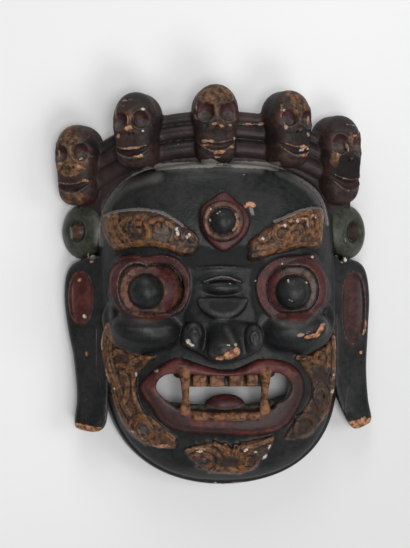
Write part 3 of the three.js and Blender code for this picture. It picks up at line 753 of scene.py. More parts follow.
skull(123, 141, 40, 0.5, -0.04, 58, "stain", (
    ("wear", 4, 20, 6, 0.7), ("wear", 12, 14, 0.8, 6),
    ("raw", 6, 9.5, 2.2, 1.0), ("wear", -3, -3, 0.6, 4), ("tan", -15, -12, 4, 6),
    ("shade", 0, -20, 16, 12), ("wear", -14, -8, 0.6, 3)), 1.02)

# ---------------------------------------------------------------------------------------------------------------
# Third eye. It stands upright on the forehead: a dark glossy ball in an ochre ring, in a pointed flame of ox red.
# All of it is left standing when the dome is cut, and the ball is turned down inside its ring.
# ---------------------------------------------------------------------------------------------------------------
def slab(loop, top, soft=3.0, bottom=60.0):
    def distance(x, y, z):
        away = patch_distance(x, y, loop) + 0 * z
        over = z - top(x, y) + 0 * away
        return -blend_least(-away, -over, soft)
    return distance, np.array([*(loop.min(axis=0) - 8), bottom]), np.array([*(loop.max(axis=0) + 8), 142])


third_x, third_y = 0.8, 61.5
third_ring_x, third_ring_y, third_ring_z = 17, 16.5, 106
third_ball = 14
flame = smooth_path([
    (2.5, 90), (-9, 83.5), (-18.5, 76), (-21, 63), (-18.5, 51), (-10, 40.5), (1, 33), (12, 38), (19, 44.5),
    (25, 53), (27, 63), (22, 73.5), (13, 81)], True)
join(*slab(flame, lambda x, y: 105 + 0 * x, 4, 80), soft=2)
ring_turn = np.linspace(0, 2 * math.pi, 33)
third_ring = [(third_x + third_ring_x * math.cos(a), third_y + third_ring_y * math.sin(a), third_ring_z)
              for a in ring_turn]
join(*bar(third_ring, 3.0), soft=1)
carve(*egg((third_x, third_y, 112), (third_ball + 0.8, third_ball + 0.8, 7)), soft=1)
join(*egg((third_x, third_y, 102), (third_ball, third_ball, 13)), soft=0.6)
lay_patch("oxblood", flame, 80, 0.5)
for colour, radius in (("ring", 19.0), ("black", 12.6)):
    lay(colour, lambda x, y, z, radius=radius: np.hypot(x - third_x, y - third_y) - radius + 0 * z,
        (-26, 30, 90), (30, 95, 150))
# Salmon touches on the ring, and a pale crescent on the ball's right, partly worn paint and partly painted highlight.
for colour, half, points in (
        ("salmon", 1.2, [(-13, 50), (-17, 62), (-12, 74)]), ("salmon", 1.0, [(15, 52), (16, 60), (13, 66)]),
        ("wear", 1.1, [(11, 53), (14.8, 60), (13.2, 68.5)])):
    lay_line(colour, smooth_path(points), half, 90)

# ---------------------------------------------------------------------------------------------------------------
# Eyes. Round staring balls, each left standing in a painted ring inside its squared red lid, which is cut down to the
# ring with a step. The rings are salmon and crimson over umber, and the balls are black.
# ---------------------------------------------------------------------------------------------------------------
ring_left = smooth_path([
    (-99.5, 2), (-96.5, 12.5), (-90, 19), (-80, 21), (-73, 18.5), (-67, 21), (-51, 19.5), (-41, 12.5), (-36, 1),
    (-36.5, -11.5), (-41.5, -21), (-55.5, -28.5), (-72.5, -31), (-86, -28.5), (-94.5, -21), (-99, -9.5)], True)
ring_right = smooth_path([
    (44, -3), (47, 9), (56, 17), (70, 19), (84, 17.5), (92, 9), (95, -4), (92, -17), (83, -26), (70, -29),
    (56, -25.5), (47, -16)], True)
ball_radius = 16.8
for hand, lid, ring, ball_x, ball_y in ((-1, lid_left, ring_left, -73, -6), (1, lid_right, ring_right, 70, -7)):
    middle = (hand * 72, -6, 73)
    mound = egg(middle, (38.5, 33, 24))[0]
    skin_over = egg(middle, (43.5, 38, 27.4))[0]
    low = [lid[:, 0].min() - 9, lid[:, 1].min() - 9, 50]
    high = [lid[:, 0].max() + 9, lid[:, 1].max() + 9, 118]
    join(mound, low, high, 4)
    join(lambda x, y, z: -blend_least(-(patch_distance(x, y, lid) + 0 * z), -skin_over(x, y, z), 3.5), low, high, 1.5)
    carve(lambda x, y, z: np.maximum(patch_distance(x, y, ring) + 0 * z, -mound(x, y, z)), low, high, 1.2)
    join(*egg((ball_x, ball_y, 96), (ball_radius, ball_radius, 15.5)), soft=1.2)
    lay("oxblood", lambda x, y, z, lid=lid: patch_distance(x, y, lid) - 0.3, low, high)
    lay("umber", lambda x, y, z, ring=ring: patch_distance(x, y, ring), low, high)
    lay("ring", lambda x, y, z, ring=ring: patch_distance(x, y, ring) + 0.6, low, high)
    lay("salmon", lambda x, y, z, bx=ball_x, by=ball_y: np.abs(np.hypot(x - bx, y - by) - 18.2) + 0.2, low, high)
    lay("wear", lambda x, y, z, ring=ring: np.abs(patch_distance(x, y, ring) - 0.2) + 0.5, low, high)
    lay("black", lambda x, y, z, bx=ball_x, by=ball_y: np.hypot(x - bx, y - by) - 17.0 + 0 * z, low, high)


def arc_area(cx, cy, radius, half, turn_from, turn_to):
    def distance(x, y, z):
        away = np.abs(np.hypot(x - cx, y - cy) - radius) - half
        turn = np.arctan2(y - cy, x - cx)
        centre = (turn_from + turn_to) / 2
        off = np.abs((turn - centre + np.pi) % (2 * np.pi) - np.pi) - (turn_to - turn_from) / 2
        return np.maximum(away, off * radius) + 0 * z
    return distance


for colour, cx, cy, radius, half, turn_from, turn_to in (
        ("salmon", -73, -6, 21.5, 3.6, 2.1, 4.6), ("crimson", -73, -6, 24.4, 4.4, -0.75, 1.0),
        ("crimson", -73, -6, 21, 1.6, 0.9, 2.0), ("crimson", 70, -6, 23, 3.6, 2.3, 4.0),
        ("slate", 70, -5, 21, 3.0, -0.9, 1.9)):
    low_x = -110 if cx < 0 else 30
    lay(colour, arc_area(cx, cy, radius, half, turn_from, turn_to), (low_x, -45, 60), (low_x + 80, 35, 118))

# ---------------------------------------------------------------------------------------------------------------
# Nose. A flat-sided bridge with an arched fold over a slot, a tongue-shaped plate, then a broad column that runs out
# to the tip between two curled wings. Carved in the solid and painted black.
# ---------------------------------------------------------------------------------------------------------------
bridge = smooth_path([
    (-29, 17), (-12, 18.5), (12, 18.5), (29.5, 16.5), (28, 2), (30, -14), (34, -38), (0, -42), (-34, -37), (-29, -13),
    (-27.5, 2)], True)
join(*slab(bridge, lambda x, y: 101.8 - 0.0065 * x ** 2 - 0.10 * np.maximum(y - 4, 0), 3), soft=2.5)
join(*bar([(-25, 16.2, 96.2), (-12, 17, 99.6), (0, 17.4, 100.4), (12, 17, 99.6), (25, 16, 96.2)], 1.5), soft=1.5)
slot = smooth_path([
    (-28, -3), (-18, 1.5), (-8, 5.5), (1, 6.5), (10, 5.2), (18, 1), (28, -4), (16, -10), (0, -11.5), (-16, -10)], True)
carve(lambda x, y, z: np.maximum(patch_distance(x, y, slot) + 0 * z, 98.6 - z), (-34, -16, 90), (34, 12, 120), 1.5)
join(*egg((0.5, -2.6, 94), (22, 8, 10.6)), soft=1.5)
join(*bar([(-17, 3.0, 100.2), (-12, 5.0, 101.6), (-6, 7.0, 102.4), (0, 8, 102.8), (7, 7.2, 102.4), (13, 4.8, 101.6),
           (18, 3.2, 100.0)], 1.7), soft=1.0)
lay_line("grey", smooth_path([(-17, 3.0), (-12, 5), (-6, 7), (0, 8), (7, 7.2), (13, 4.8), (18, 3.2)]), 0.2, 90)
plate = smooth_path([
    (-22, -13), (-11, -12.4), (1, -12.2), (13, -12.4), (24, -13.2), (24.5, -17.5), (21, -24.5), (13, -30.5), (1.5, -33),
    (-10, -31), (-19, -25), (-23, -18)], True)
join(*slab(plate, lambda x, y: 106.4 - 0.005 * (x - 1) ** 2 - 0.010 * (y + 23) ** 2, 2.0, 80), soft=1.0)
plate_foot = smooth_path([(-20, -23), (-16, -27.5), (-8, -31.5), (2, -33), (12, -30.8), (19, -27), (23, -20)])
nose_base = smooth_path([
    (-38, -58), (-37.5, -46), (-31, -37), (-16, -33), (2, -34), (20, -36), (34, -40), (39, -49), (38.5, -60),
    (30, -66), (20, -71), (2, -73), (-11, -71.5), (-24, -64.5)], True)
join(*slab(nose_base, lambda x, y: 111.5 - 0.55 * np.maximum(y + 50, 0) - 0.004 * x * x, 5, 70), soft=2.5)


def column_top(x, y):
    rise = np.clip((-31 - y) / 29, 0, 1)
    return 103.5 + 32 * rise * rise * (3 - 2 * rise) - 0.03 * (x - 0.5) ** 2 - 0.5 * np.maximum(-64 - y, 0) ** 1.4


column = smooth_path([
    (-12.5, -31), (0, -34), (13.5, -31), (14, -50), (16.5, -64), (10, -72), (-6, -72.5), (-14, -67),
    (-13.5, -50)], True)
join(*slab(column, column_top, 8, 80), soft=6)
carve(*bar([(x, y, 106.6 - 0.006 * x * x) for x, y in plate_foot[::3]], 1.0), soft=1.0)
wing_left = smooth_path([
    (-38, -50), (-36.5, -41.5), (-29, -35.5), (-21, -38), (-17.5, -46), (-17, -56), (-19, -65), (-27, -62.5),
    (-35, -58)], True)
wing_right = smooth_path([
    (21.5, -57), (21.5, -46), (25.5, -39.5), (31, -37.5), (37.5, -42), (39.5, -50), (38, -59), (32, -64.5),
    (23.5, -67.5)], True)


def wing_top(x, y, x0, y0, peak):
    return peak - 0.055 * (x - x0) ** 2 - 0.022 * (y - y0) ** 2


for wing, x0, y0, turns in ((wing_left, -27.5, -49, (2.6, 0.2)), (wing_right, 30.5, -51, (3.7, -0.5))):
    join(*slab(wing, lambda x, y, x0=x0, y0=y0: wing_top(x, y, x0, y0, 117.5), 4, 80), soft=1.6)
    for radius_x, radius_y, sink in ((5.6, 9.0, 0.2), (2.2, 5.0, 0.0)):
        curl = [(x0 + radius_x * math.cos(a), y0 + radius_y * math.sin(a)) for a in np.linspace(*turns, 9)]
        carve(*bar([(x, y, wing_top(x, y, x0, y0, 117.6 - sink)) for x, y in curl], 1.05), soft=0.9)
for x in (-12.5, 14.5):
    carve(*egg((x, -72, 97), (6, 5.5, 8)), soft=2)

# ---------------------------------------------------------------------------------------------------------------
# Cheeks. Hanging bags left standing under the eyes, each with an outer end that hooks up beside the lid. Painted
# black like the dome, with a painted pale sheen along their tops and outer hooks, and a painted highlight down the
# nose's column.
# ---------------------------------------------------------------------------------------------------------------
for hand in (-1, 1):
    join(*egg((hand * 72, -44, 79), (36, 21, 26), hand * 0.12), soft=4)
    hook = smooth_path([(-103, -20, 62), (-107, -34, 66), (-100, -50, 74), (-82, -60, 82)])
    join(*bar(hook * np.array([-hand, 1, 1]), 9), soft=4)
# Painted highlights: pale sheen along the cheeks' tops and outer hooks, and down the nose's column.
for points, half in (([(50, -33), (64, -39), (80, -37.5), (92, -29), (98, -24), (103, -32), (105, -46)], -0.2),
                     ([(-90, -42), (-70, -43), (-49, -41)], -2.2), ([(-108, -18), (-107, -34)], 0.6),
                     ([(4, -43), (9, -54)], 0.4)):
    lay_line("painted_sheen", smooth_path(points), half, 40)

# ---------------------------------------------------------------------------------------------------------------
# Ears. Long ears, cut from the same block, hang from the temples and slope back from the face. Each is scooped at the
# top and painted red in the scoop, and its foot is broken off to the bare wood.
# ---------------------------------------------------------------------------------------------------------------
ear_slope = 0.62
ear_rim = 112.0
ear_thickness = 14.0
scoop_power = 2.4
scoop_depth = 7
ears = {
    -1: [(116, 24), (137, 25), (150.6, 14), (154, -12), (149.8, -46), (144.2, -74), (141, -112),
         (143.4, -137), (139.5, -145), (118, -146), (110, -127), (110, -60)],
    1: [(116, 24), (138, 26), (153, 17), (158.5, -10), (157, -46), (155, -84), (157, -116),
        (161, -137), (156, -143), (140, -146), (126.5, -125), (118.5, -98), (118, -60)],
}
scoops = {-1: (137, -13, 11.5, 25, -140.5, "red"), 1: (140, -23, 12.5, 35, -139.5, "rose")}


def ear_back(x, hand, start=4):
    return start + ear_slope * (50 - (hand * x - ear_rim))


for hand, points in ears.items():
    loop = smooth_path([(hand * x, y) for x, y in points], True)
    scoop_x, scoop_y, scoop_half_x, scoop_half_y, foot_y, scoop_paint = scoops[hand]

    def ear_body(x, y, z, loop=loop, hand=hand):
        low_z = ear_back(x, hand)
        slope = math.sqrt(1 + ear_slope ** 2)
        body = np.maximum(z - low_z - ear_thickness, low_z - z) / slope
        return -blend_least(-(patch_distance(x, y, loop) + 0 * z), -(body + 0 * y), 4)

    def scoop_plan(x, y, hand=hand, sx=scoop_x, sy=scoop_y, half_x=scoop_half_x, half_y=scoop_half_y):
        return np.abs((hand * x - sx) / half_x) ** scoop_power + np.abs((y - sy) / half_y) ** scoop_power

    def scoop(x, y, z, hand=hand, plan=scoop_plan):
        down = np.abs((z - ear_back(x, hand, 18)) / scoop_depth) ** scoop_power
        return ((plan(x, y) + down) ** (1 / scoop_power) - 1) * scoop_depth

    def scoop_edge(x, y, z, plan=scoop_plan, half_x=scoop_half_x):
        return np.abs((plan(x, y) ** (1 / scoop_power) - 1.05) * half_x) + 0 * z

    def broken_foot(x, y, z, foot_y=foot_y, hand=hand):
        return np.maximum(y - foot_y - 0.12 * hand * (x - hand * 130), 14 - z)
    x_ends = sorted((hand * 100, hand * 166))
    join(ear_body, (x_ends[0], -156, -3), (x_ends[1], 30, 60), 2)
    carve(scoop, (x_ends[0], -66, 0), (x_ends[1], 30, 70), 1.5)
    low, high = (x_ends[0], -66, 10), (x_ends[1], 30, 70)
    lay(scoop_paint, lambda x, y, z, scoop=scoop: scoop(x, y, z) - 0.5, low, high)
    if hand > 0:
        lay("stain", lambda x, y, z, scoop=scoop: scoop(x, y, z) - 1.0, low, high)
    lay("grey", lambda x, y, z, edge=scoop_edge: edge(x, y, z) + 0.3, low, high)
    for points, half in (
            ([(-120, -30), (-121, -70), (-119, -105)], 1.4), ([(-133, -104), (-130, -118), (-131, -136)], 1.2),
            ([(-139, -60), (-134, -66), (-128, -63)], 1.2)):
        streak_line = smooth_path(np.array(points, float) * np.array([-hand, 1]))
        lay_line("rose", streak_line, half - 1.2, 8)
        groove_z = [ear_back(x, hand) + ear_thickness for x, y in streak_line]
        carve(*bar([(x, y, z) for (x, y), z in zip(streak_line, groove_z)][::3], 1.0), soft=0.8)
    x_ends = sorted((hand * 116, hand * 168))
    lay("raw", broken_foot, (x_ends[0], -156, 0), (x_ends[1], -130, 60))

# ---------------------------------------------------------------------------------------------------------------
# Roundels. A domed disc with a boss in a turned groove sits over each ear, tilted to the side and painted green with a
# brown boss. A web of wood, left behind each disc and the top of its ear, joins them to the face.
# ---------------------------------------------------------------------------------------------------------------
roundel_tilt = 0.8
roundel_z = 25
roundel_radius = 27.5
boss_radius = 7.6
groove_radius = 9.6
for hand, x0, y0 in ((-1, -138, 54), (1, 137, 54)):
    def turned(x, y, z, hand=hand, x0=x0, y0=y0):
        c, s = math.cos(roundel_tilt), math.sin(roundel_tilt) * hand
        dx, dz = x - x0, z - roundel_z
        return np.hypot(dx * c - dz * s, y - y0), dx * s + dz * c

    def disc(x, y, z, turned=turned):
        r, w = turned(x, y, z)
        top = 5.5 - 7.5 * np.clip((r - 15) / 13, 0, 1) ** 2.2 - 3.0 * np.exp(-((r - groove_radius) / 2.4) ** 2)
        top = top + 2.4 * np.sqrt(np.clip(1 - (r / boss_radius) ** 2, 0, 1))
        return -blend_least(-(r - roundel_radius), -np.maximum(w - top, -9 - w), 2.5)

    def inner(x, y, z, turned=turned):
        return turned(x, y, z)[0] - 8
    low, high = (x0 - 28, 24, 10), (x0 + 28, 84, 56)
    join(disc, (x0 - 28, 22, -2), (x0 + 28, 86, 56), 1.2)
    lay("green", lambda x, y, z, disc=disc: disc(x, y, z) - 1.0, (x0 - 28, 24, 6), high)
    lay("ring", inner, low, high)
    lay("wear", lambda x, y, z, inner=inner: np.abs(inner(x, y, z) - 1.0) + 0.2, low, high)
    # Painted light: a pale sheen and a grey glint on the left disc, painted shade and a grey glint on the right boss.
    if hand < 0:
        lay_line("painted_sheen", smooth_path([(-152, 42), (-157, 55), (-152, 68)]), 1.5, 4)
        lay_line("grey", smooth_path([(-147.6, 58), (-147.2, 53), (-146.2, 47.5)]), 1.1, 4)
    else:
        lay("shade", lambda x, y, z, inner=inner: inner(x, y, z) - 3, low, high)
        lay_line("grey", smooth_path([(129.6, 47.6), (130, 46), (130.6, 44.4)]), 1.1, 4)
    web = np.array([(105, -20), (134, -10), (138, 40), (136, 100), (105, 100)], float) * np.array([hand, 1])
    x_ends = sorted((hand * 102, hand * 141))
    join(lambda x, y, z, web=web: np.maximum(patch_distance(x, y, web), z - 14),
         (x_ends[0], -24, -3), (x_ends[1], 104, 18), 1.5)

# ---------------------------------------------------------------------------------------------------------------
# Mouth and hollow. The mouth is cut through between the lips, and the back is gouged out to leave an even wall, bare
# inside and rippled by the gouge. The wearer's face sits in the hollow and looks out through the mouth.
# ---------------------------------------------------------------------------------------------------------------
mouth = smooth_path([
    (-63, -100), (-58, -90.5), (-48, -86.5), (-30, -87), (3, -89), (38, -87), (56, -86), (66, -91.5), (70, -101),
    (66, -111), (56, -117), (47, -123), (4, -125), (-36, -122), (-47, -118), (-57, -110)], True)
carve(lambda x, y, z: patch_distance(x, y, mouth) + 0 * z, (-70, -132, -4), (76, -80, 142), 3)
wall = 13.0
hollow = blend_least(face_block(wall, False), crown_block(wall), 4)
gouge_depth = 0.45
gouge_x, gouge_y = xs[:, None, None], ys[None, :, None]
across_ripple = np.cos(gouge_x * 0.62 + 1.6 * np.sin(gouge_y * 0.11))
along_ripple = np.cos(gouge_y * 0.17 + 0.8 * np.sin(gouge_x * 0.08))
hollow += gouge_depth * across_ripple * along_ripple
wood[:] = -blend_least(-wood, hollow, 2)

# ---------------------------------------------------------------------------------------------------------------
# Teeth, gums and tongue. Left standing across the mouth from the same block: square front teeth between four fangs,
# painted bone and browned with age, on grey-green gums, with a dark red tongue lying between the rows.
# ---------------------------------------------------------------------------------------------------------------
def tooth(x0, y0, z0, half_x, half_y, half_z, round_off=2.0):
    def distance(x, y, z):
        qx = np.abs(x - x0) - half_x + round_off
        qy = np.abs(y - y0) - half_y + round_off
        qz = np.abs(z - z0) - half_z + round_off
        outside = np.sqrt(np.maximum(qx, 0) ** 2 + np.maximum(qy, 0) ** 2 + np.maximum(qz, 0) ** 2)
        return outside + np.minimum(np.maximum(qx, np.maximum(qy, qz)), 0) - round_off
    reach = np.array([half_x + 5, half_y + 5, half_z + 5])
    centre = np.array([x0, y0, z0])
    join(distance, centre - reach, centre + reach, 0.7)
    lay("bone", lambda x, y, z: distance(x, y, z) - 0.8, centre - reach, centre + reach)


join(*bar([(-40, -86, 64), (4, -86, 72), (50, -86, 64)], 6), soft=1.5)
join(*bar([(-52, -129, 58), (-25, -131, 66), (4, -132, 68), (33, -131, 66), (62, -129, 58)], 8), soft=2)
lower_gum = bar([
    (-57, -122.5, 56), (-40, -124.5, 58), (-25, -125.5, 60), (4, -126, 60), (33, -125.5, 60), (50, -122.5, 58),
    (66, -117, 56)], 7.4)
join(*lower_gum, soft=1.5)
lay("gum", lambda x, y, z: np.maximum(lower_gum[0](x, y, z) - 1.5, z - 68), *lower_gum[1:])
upper_gum = smooth_path([
    (-38, -82), (5, -82), (49, -82), (48, -94), (44, -99.4), (36, -100), (5, -100), (-26, -100), (-35, -99.4),
    (-38.5, -94)], True)
join(*slab(upper_gum, lambda x, y: 74 + 0 * x, 2, 60), soft=1.0)
lay("gum", lambda x, y, z: np.maximum(patch_distance(x, y, upper_gum) - 1.5, z - 76), (-46, -106, 50), (56, -76, 90))
upper_head = -87.5
for x0, half_x, foot in ((-20.5, 6.7, -99.2), (-3.5, 7.2, -99.0), (15.3, 7.0, -99.2), (31, 5.6, -98.6)):
    tooth(x0, (foot + upper_head) / 2, 80.5, half_x, (upper_head - foot) / 2, 7)
for x0, half_x, head, foot in (
        (-20, 6.0, -124.5, -132), (-1.5, 8.4, -126, -132), (17, 7.4, -124.8, -132.4), (32.5, 6.4, -126, -132)):
    tooth(x0, (head + foot) / 2, 75.5, half_x, (head - foot) / 2, 7.5)
for x0, top in ((-34.5, 1), (44, -1)):
    fang = [(x0, -84.5, 87), (x0, -94, 84), (x0 + 0.6 * top, -110, 79)]
    join(*bar(fang, [5.6, 4.6, 3.2]), soft=0.7)
    fang_low = [(x0 + 0.5 * top, -112, 76), (x0, -121, 77), (x0, -127, 72)]
    join(*bar(fang_low, [3.6, 5.4, 6]), soft=0.7)
    lay("bone", bar(fang, [6.0, 5.6, 4.2])[0], (x0 - 9, -118, 66), (x0 + 9, -76, 102))
    lay("bone", bar(fang_low, [4.6, 6.4, 6.6])[0], (x0 - 9, -134, 66), (x0 + 9, -108, 100))
tongue = (6, -119, 60)
join(*egg(tongue, (20, 11, 9)), soft=1)
tongue_skin = egg(tongue, (20.5, 11.5, 9.6))[0]
lay("oxblood", tongue_skin, (-18, -133, 45), (30, -104, 75))
lay("black", tongue_skin, (-18, -133, 45), (30, -104, 58))
# Painted highlights: pale grey lines along the tongue's top edge and along the lower gums.
for points, half in (
        ([(-11, -113.5), (-3, -110.3), (6, -109)], -0.2), ([(-30, -120.8), (-20, -120.8), (-13, -121.6)], 0.4),
        ([(24, -121.6), (34, -120.8), (42, -119.8)], 0.2)):
    lay_line("grey", smooth_path(points), half, 45)

# ---------------------------------------------------------------------------------------------------------------
# String holes and rim. A hole is drilled through the web under each roundel for the cord that ties the mask on or
# hangs it up. The back rim is sawn flat, and the mask lies on it.
# ---------------------------------------------------------------------------------------------------------------
string_hole = 3.1
for x0, y0 in ((-125.0, 28.0), (125.0, 28.0)):
    carve(lambda x, y, z, x0=x0, y0=y0: np.hypot(x - x0, y - y0) - string_hole + 0 * z,
          (x0 - 6, y0 - 6, -4), (x0 + 6, y0 + 6, 90), 0.8)
wood[:] = np.maximum(wood, -zs[None, None, :])
wood[:, :, zs < 0] = np.maximum(wood[:, :, zs < 0], 0.5)

# ---------------------------------------------------------------------------------------------------------------
# Knocks. Where the mask has been struck the paint has come away, to the pale ground or the bare wood under it. The
# larger ones are dents in the wood as well. Each has a kind, a place, two half sizes and a lean.
# ---------------------------------------------------------------------------------------------------------------
def top_at(x, y):
    i, j = int(round((x - grid_low[0]) / cell)), int(round((y - grid_low[1]) / cell))
    solid = np.flatnonzero(wood[i, j] < 0)
    return float(zs[solid[-1]]) if len(solid) else 0.0


knock_depth = 0.9
knocks = [
    ("fleck", -33, -54.5, 3.0, 2.2, -0.7), ("fleck", -29.5, -57.5, 2.6, 1.6, -0.6), ("raw", 6, -66, 7.5, 4.2, 0.35),
    ("raw", 12, -63.5, 4.2, 4.6, 0.0), ("raw", -3.5, -69.5, 4.2, 2.4, 0.1), ("fleck", 11, -56.5, 1.3, 1.5, 0.0),
    ("fleck", 3, -57, 2.4, 0.9, 0.2), ("raw", 26.5, 78, 4.6, 2.0, 0.5), ("raw", 31, 77.5, 2.4, 2.6, 0.0),
    ("raw", 24, 76.5, 2.0, 1.2, 0.0), ("grey", 29.5, 71, 2.2, 5.5, 0.25), ("raw", 96.5, -43, 8.0, 2.3, 0.95),
    ("raw", 86, -50, 6.0, 1.9, 0.1), ("raw", 92, -49, 4.0, 2.4, 0.3), ("wear", 76.5, -48.5, 3.6, 1.5, 0.25),
    ("fleck", 84, -46, 2.6, 0.8, 0.6), ("fleck", -66.5, -47.5, 1.6, 1.2, 0.0), ("fleck", -67, -51.5, 0.9, 1.2, 0.0),
    ("fleck", -133.3, -31.5, 2.6, 1.6, -0.5), ("raw", -138, 5, 1.6, 2.4, -0.5), ("raw", -131.2, -69, 1.6, 2.0, 0.0),
    ("raw", 148.4, -69, 2.2, 1.8, 0.4), ("raw", 153.5, -42, 1.1, 7.0, -0.1), ("wear", 151.5, -48, 1.4, 3.0, 0.0),
    ("fleck", 115.6, -106.5, 3.4, 1.7, 0.5), ("fleck", 115.5, -90, 1.6, 1.2, 0.4), ("fleck", 117, -83, 1.5, 0.9, 0.0),
    ("fleck", 46.5, -171.5, 1.8, 3.2, -0.5), ("fleck", 50, -161, 0.9, 2.8, -0.5),
    ("fleck", 36.5, -165.5, 2.0, 0.9, 0.2), ("fleck", 26.5, -163.5, 2.6, 0.9, 0.6),
    ("fleck", -19.5, -164.5, 3.4, 0.9, 0.15), ("fleck", -85.5, -145.5, 1.6, 1.0, -0.3),
    ("fleck", -82, -88, 1.0, 2.2, 0.0), ("fleck", -103.5, -103, 1.0, 1.4, 0.0), ("fleck", -62.5, -84, 2.2, 1.0, 0.3),
    ("fleck", -0.7, -201, 2.6, 1.2, 0.0), ("wear", 20, -201.5, 8, 0.8, 0.1), ("fleck", 101, -87.5, 2.8, 0.9, 0.4),
    ("fleck", 64, 4.0, 0.9, 2.2, 0.0), ("fleck", 66, -14.5, 2.6, 0.6, -0.5), ("fleck", 82.5, 2.5, 1.5, 0.9, 0.4),
    ("fleck", 59.5, 20.5, 0.8, 0.8, 0.0), ("fleck", 91, 27.5, 2.0, 1.0, -0.2), ("fleck", 33, 4.5, 0.9, 1.0, 0.0),
    ("fleck", 8, 1.2, 0.9, 0.7, 0.0), ("wear", 5, -28.5, 4.5, 0.6, 0.15), ("fleck", -24, 119, 1.2, 0.8, 0.0),
    # The flecks on the upper left of the third eye's ball are painted glints.
    ("fleck", 12, 108, 0.9, 0.6, 0.0), ("fleck", 22, 107.5, 0.9, 0.6, 0.0), ("fleck", -4.5, 68.5, 1.0, 0.7, 0.0),
    ("fleck", -11, 72.5, 0.8, 1.2, 0.0), ("fleck", -11.5, 62, 0.8, 1.6, 0.2), ("fleck", -3, 70.5, 1.3, 0.6, 0.3),
    ("fleck", 62, 171, 1.4, 1.1, 0.0), ("wear", 28, 159.5, 8.0, 0.9, 0.05), ("wear", 42, 160, 3.2, 1.2, 0.1),
    ("fleck", -42, 171, 2.4, 1.0, 0.1), ("fleck", -41, 139, 1.0, 0.7, 0.0), ("fleck", -56.5, 147, 0.8, 1.6, 0.0),
    ("wear", 95, 160, 2.2, 3.6, 0.6), ("wear", 88, 163, 1.0, 4.0, 0.0), ("fleck", 80, 133, 3.0, 1.2, 0.3),
    ("fleck", 130.5, 25.5, 1.6, 2.4, 0.0), ("wear", 126, 22.5, 2.0, 1.0, 0.0), ("wear", -126, 23.5, 2.6, 1.0, 0.0),
    ("wear", -129.5, 30, 1.0, 2.4, 0.0),
]
for name, x, y, half_x, half_y, lean in knocks:
    z = top_at(x, y)
    if name in ("raw", "fleck") and min(half_x, half_y) > 1.4:
        carve(*egg((x, y, z + 1.2), (half_x, half_y, 1.2 + knock_depth), lean), soft=0.6)
    spot = egg((x, y, z), (half_x, half_y, 14), lean)[0]
    lay(name, spot, (x - half_x - 6, y - half_x - 6, z - 14), (x + half_x + 6, y + half_x + 6, z + 8))

# ---------------------------------------------------------------------------------------------------------------
# The carved skin. The whole mask is one closed piece. A net of points is drawn round the wood, one to each cell that
# the surface crosses, and thinned where the form is plain. Millimetres become metres here, and the middle of the
# mask's height comes to the origin.
# ---------------------------------------------------------------------------------------------------------------
MM = 0.001
rise_to_origin = 3.6
most_faces = 192000
shortest_edge = 2e-5


def net(volume):
    inside = volume < 0
    nx, ny, nz = volume.shape
    corner_list = [(i, j, k) for i in (0, 1) for j in (0, 1) for k in (0, 1)]
    count = np.zeros((nx - 1, ny - 1, nz - 1), np.int8)
    for i, j, k in corner_list:
        count += inside[i:nx - 1 + i, j:ny - 1 + j, k:nz - 1 + k]
    crossed = np.argwhere((count > 0) & (count < 8))
    values = np.stack([volume[tuple((crossed + c).T)] for c in corner_list], axis=1)
    total = np.zeros((len(crossed), 3))
    hits = np.zeros(len(crossed))
    for a, ca in enumerate(corner_list):
        for b, cb in enumerate(corner_list):
            if b > a and sum(abs(p - q) for p, q in zip(ca, cb)) == 1:
                va, vb = values[:, a], values[:, b]
                cut = (va < 0) != (vb < 0)
                t = np.where(cut, va / np.where(cut, va - vb, 1), 0)[:, None]
                place = np.array(ca) + (np.array(cb) - np.array(ca)) * t
                total += np.where(cut[:, None], place, 0)
                hits += cut
    points = (crossed + total / hits[:, None]) * cell + grid_low
    index = np.full(count.shape, -1, np.int32)
    index[tuple(crossed.T)] = np.arange(len(crossed))
    quads = []
    for axis in range(3):
        u, v = (axis + 1) % 3, (axis + 2) % 3
        first = [slice(None)] * 3
        second = [slice(None)] * 3
        first[axis], second[axis] = slice(0, -1), slice(1, None)
        a, b = inside[tuple(first)], inside[tuple(second)]
        edges = np.argwhere(a != b)
        keep = (edges[:, u] > 0) & (edges[:, v] > 0)
        keep &= (edges[:, u] < count.shape[u]) & (edges[:, v] < count.shape[v])
        edges = edges[keep]
        out = a[tuple(edges.T)]
        ring = []
        for du, dv in ((-1, -1), (0, -1), (0, 0), (-1, 0)):
            at = edges.copy()
            at[:, u] += du
            at[:, v] += dv
            ring.append(index[tuple(at.T)])
        quad = np.stack(ring, axis=1)
        quad[~out] = quad[~out][:, ::-1]
        quads.append(quad)
    return points, np.vstack(quads)


points, quads = net(wood)
points = points + np.array([0, rise_to_origin, 0])
raw_mesh = bpy.data.meshes.new("mask_carving")
raw_mesh.vertices.add(len(points))
raw_mesh.vertices.foreach_set("co", (points * MM).astype(np.float32).ravel())
raw_mesh.loops.add(quads.size)
raw_mesh.loops.foreach_set("vertex_index", quads.astype(np.int32).ravel())
raw_mesh.polygons.add(len(quads))
raw_mesh.polygons.foreach_set("loop_start", np.arange(0, quads.size, 4, dtype=np.int32))
raw_mesh.update(calc_edges=True)
carving = bpy.data.objects.new("mask_carving", raw_mesh)
bpy.context.scene.collection.objects.link(carving)
thin = carving.modifiers.new("thin", "DECIMATE")
thin.ratio = min(1.0, most_faces / (2 * len(quads)))
bpy.context.view_layer.update()
shown = carving.evaluated_get(bpy.context.evaluated_depsgraph_get())
mask_mesh = bpy.data.meshes.new_from_object(shown)
mask_mesh.name = "carved_mask"
slivers = bmesh.new()
slivers.from_mesh(mask_mesh)
bmesh.ops.dissolve_degenerate(slivers, dist=shortest_edge, edges=slivers.edges[:])
slivers.to_mesh(mask_mesh)
slivers.free()
bpy.data.objects.remove(carving)
bpy.data.meshes.remove(raw_mesh)
mask = bpy.data.objects.new("carved_mask", mask_mesh)
bpy.context.scene.collection.objects.link(mask)
